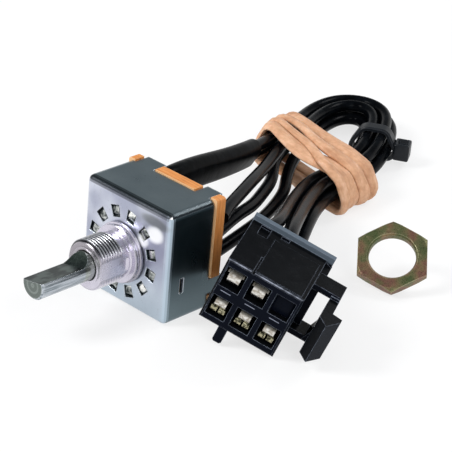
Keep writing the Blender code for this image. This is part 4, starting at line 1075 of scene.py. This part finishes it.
# %% Bushing profile, as radius and distance from the can's front
PITCH, THREAD_DEEP, THREAD_R, FLAT_AT, ROUND = 0.72, 0.42, 5.52, 4.55, 96
BEFORE_THREAD = [(3.34, -10.36), (3.5, -10.4), (3.66, -10.36), (3.72, -10.3), (3.95, -10.28),
                 (4.1, -10.36), (4.25, -10.4), (4.9, -10.4)]
AFTER_THREAD = [(5.2, -4.15), (5.2, -3.2), (5.0, -2.7), (4.95, -2.4), (5.2, -2.12), (6.2, -2.02),
                (6.4, -1.85), (6.42, -1.4), (6.2, -1.2), (6.05, -1.08), (6.4, -1.0), (6.64, -0.85),
                (6.68, -0.6), (6.6, -0.32), (4.88, -0.3), (4.88, 1.12), (6.15, 1.12), (6.15, 1.88),
                (3.32, 1.9), (3.32, -9.9)]


def thread_radius(y, share):
    """The radius at y, this share of a turn round: ridges, faded in at the front end."""
    saw = abs(((y / PITCH + share) % 1.0) * 2 - 1)
    start = clamp((y + 10.4) / 0.5)
    fade = start * start * (3 - 2 * start)
    return THREAD_R - THREAD_DEEP * (1 - clamp((saw - 0.12) / 0.76)) - (1 - fade) * 0.4


print("thread of", round(5.8 / PITCH), "turns")

# %% Bushing
turned = [[(r, y)] * ROUND for r, y in BEFORE_THREAD]
for y in np.linspace(-10.1, -4.3, 110):
    turned.append([(thread_radius(y, i / ROUND), y) for i in range(ROUND)])
turned += [[(r, y)] * ROUND for r, y in AFTER_THREAD]
sections = []
for row in turned:
    loop = []
    for i, (r, y) in enumerate(row):
        a = 2 * math.pi * i / ROUND
        x = r * math.cos(a)
        if y < -3.0:
            x = min(x, FLAT_AT)
        loop.append((AXIS[0] + x, y, AXIS[1] + r * math.sin(a)))
    sections.append(loop)
piece("bushing_threaded", loft(sections, closed=True), cast, ["threaded_bushing"],
      sharp=28)

# %% [markdown]
# ## What each lead carries
# A cord is a fixed length of something soft. Each lead is listed with how many pieces it carries: its
# receptacle, with the small rolls in the lower row, and on the first lead also the connector housing, the
# blank, the panel, the sleeve, the band and the tie.

for k, tube in lead_pieces.items():
    extra = receptacles[k]
    if k == 1:
        extra += [nodes["connector_housing"], blank, panel, sleeve_piece, band_piece, strap_piece,
                  head_piece]
    print(tube.name, "carries", len(extra))

# %% [markdown]
# ## Floor and light
# The product lies on white paper in a dark room: the paper and the horizon are bright, and the
# ceiling is dark, which the can's top shows. For soft light the world also sends an even glow,
# seen only by matt surfaces. The paper looks white to the camera and keeps a soft shadow.

# %% Floor
FLOOR_HALF, PAPER_GLOW = 3.0, 0.72
floor_mesh = bpy.data.meshes.new("paper_floor")
floor_mesh.from_pydata([(x * FLOOR_HALF, y * FLOOR_HALF, -0.0002) for x, y in
                        ((-1, -1), (1, -1), (1, 1), (-1, 1))], [], [(0, 1, 2, 3)])
new_object("paper_floor", floor_mesh)
paper = Finish("paper_white", Base_Color=(0.86, 0.86, 0.86), Roughness=0.9, Specular_IOR_Level=0.1)
rays = paper.node("ShaderNodeLightPath")
seen = rays["Is Camera Ray"] | rays["Is Glossy Ray"] | rays["Is Transmission Ray"]
glow = paper.node("ShaderNodeEmission", {}, {"Color": (1.0, 1.0, 1.0, 1.0), "Strength": 1.0})
both = paper.node("ShaderNodeMixShader", {},
                  {0: seen * PAPER_GLOW, 1: Made(paper, paper.shader)[0], 2: glow[0]})
paper.plug(paper.all.nodes["Material Output"].inputs[0], both[0])
floor_mesh.materials.append(paper.mat)
paint(paper)

# %% World
world = bpy.data.worlds.new("studio_room")
bpy.context.scene.world = world
world.use_nodes = True
room = Shader(world.node_tree)
above_floor = room.parts(room.node("ShaderNodeTexCoord")["Generated"])[2]
walls = room.ramp(above_floor, (0.0, WHITE), (0.2, WHITE), (0.36, (0.16, 0.19, 0.21)),
                  (0.7, (0.2, 0.22, 0.24)), (1.0, (0.30, 0.33, 0.35)))
rays = room.node("ShaderNodeLightPath")
background = world.node_tree.nodes["Background"].inputs
mirrored = rays["Is Glossy Ray"] | rays["Is Camera Ray"]
room.plug(background["Color"], room.mix((0.62, 0.63, 0.65), walls, mirrored))
room.plug(background["Strength"], 1.0)
print("world:", len(room.all.nodes), "nodes")


# %% Lamps
LIT_SPOT = Vector((0.0, 0.04, 0.01))


def lamp(name, place, size, watts):
    data = bpy.data.lights.new(name, "AREA")
    data.shape = "DISK"
    data.size = size
    data.energy = watts
    obj = new_object(name, data)
    obj.location = place
    obj.rotation_euler = (LIT_SPOT - Vector(place)).to_track_quat("-Z", "Y").to_euler()
    print(name, watts, "W")


lamp("key_left", (-0.35, -0.55, 0.6), 0.35, 5.0)
lamp("fill_right", (0.65, -0.25, 0.45), 0.4, 2.0)
lamp("rim_back", (0.1, 0.7, 0.6), 0.3, 2.0)

bpy.context.scene.view_settings.view_transform = "Standard"
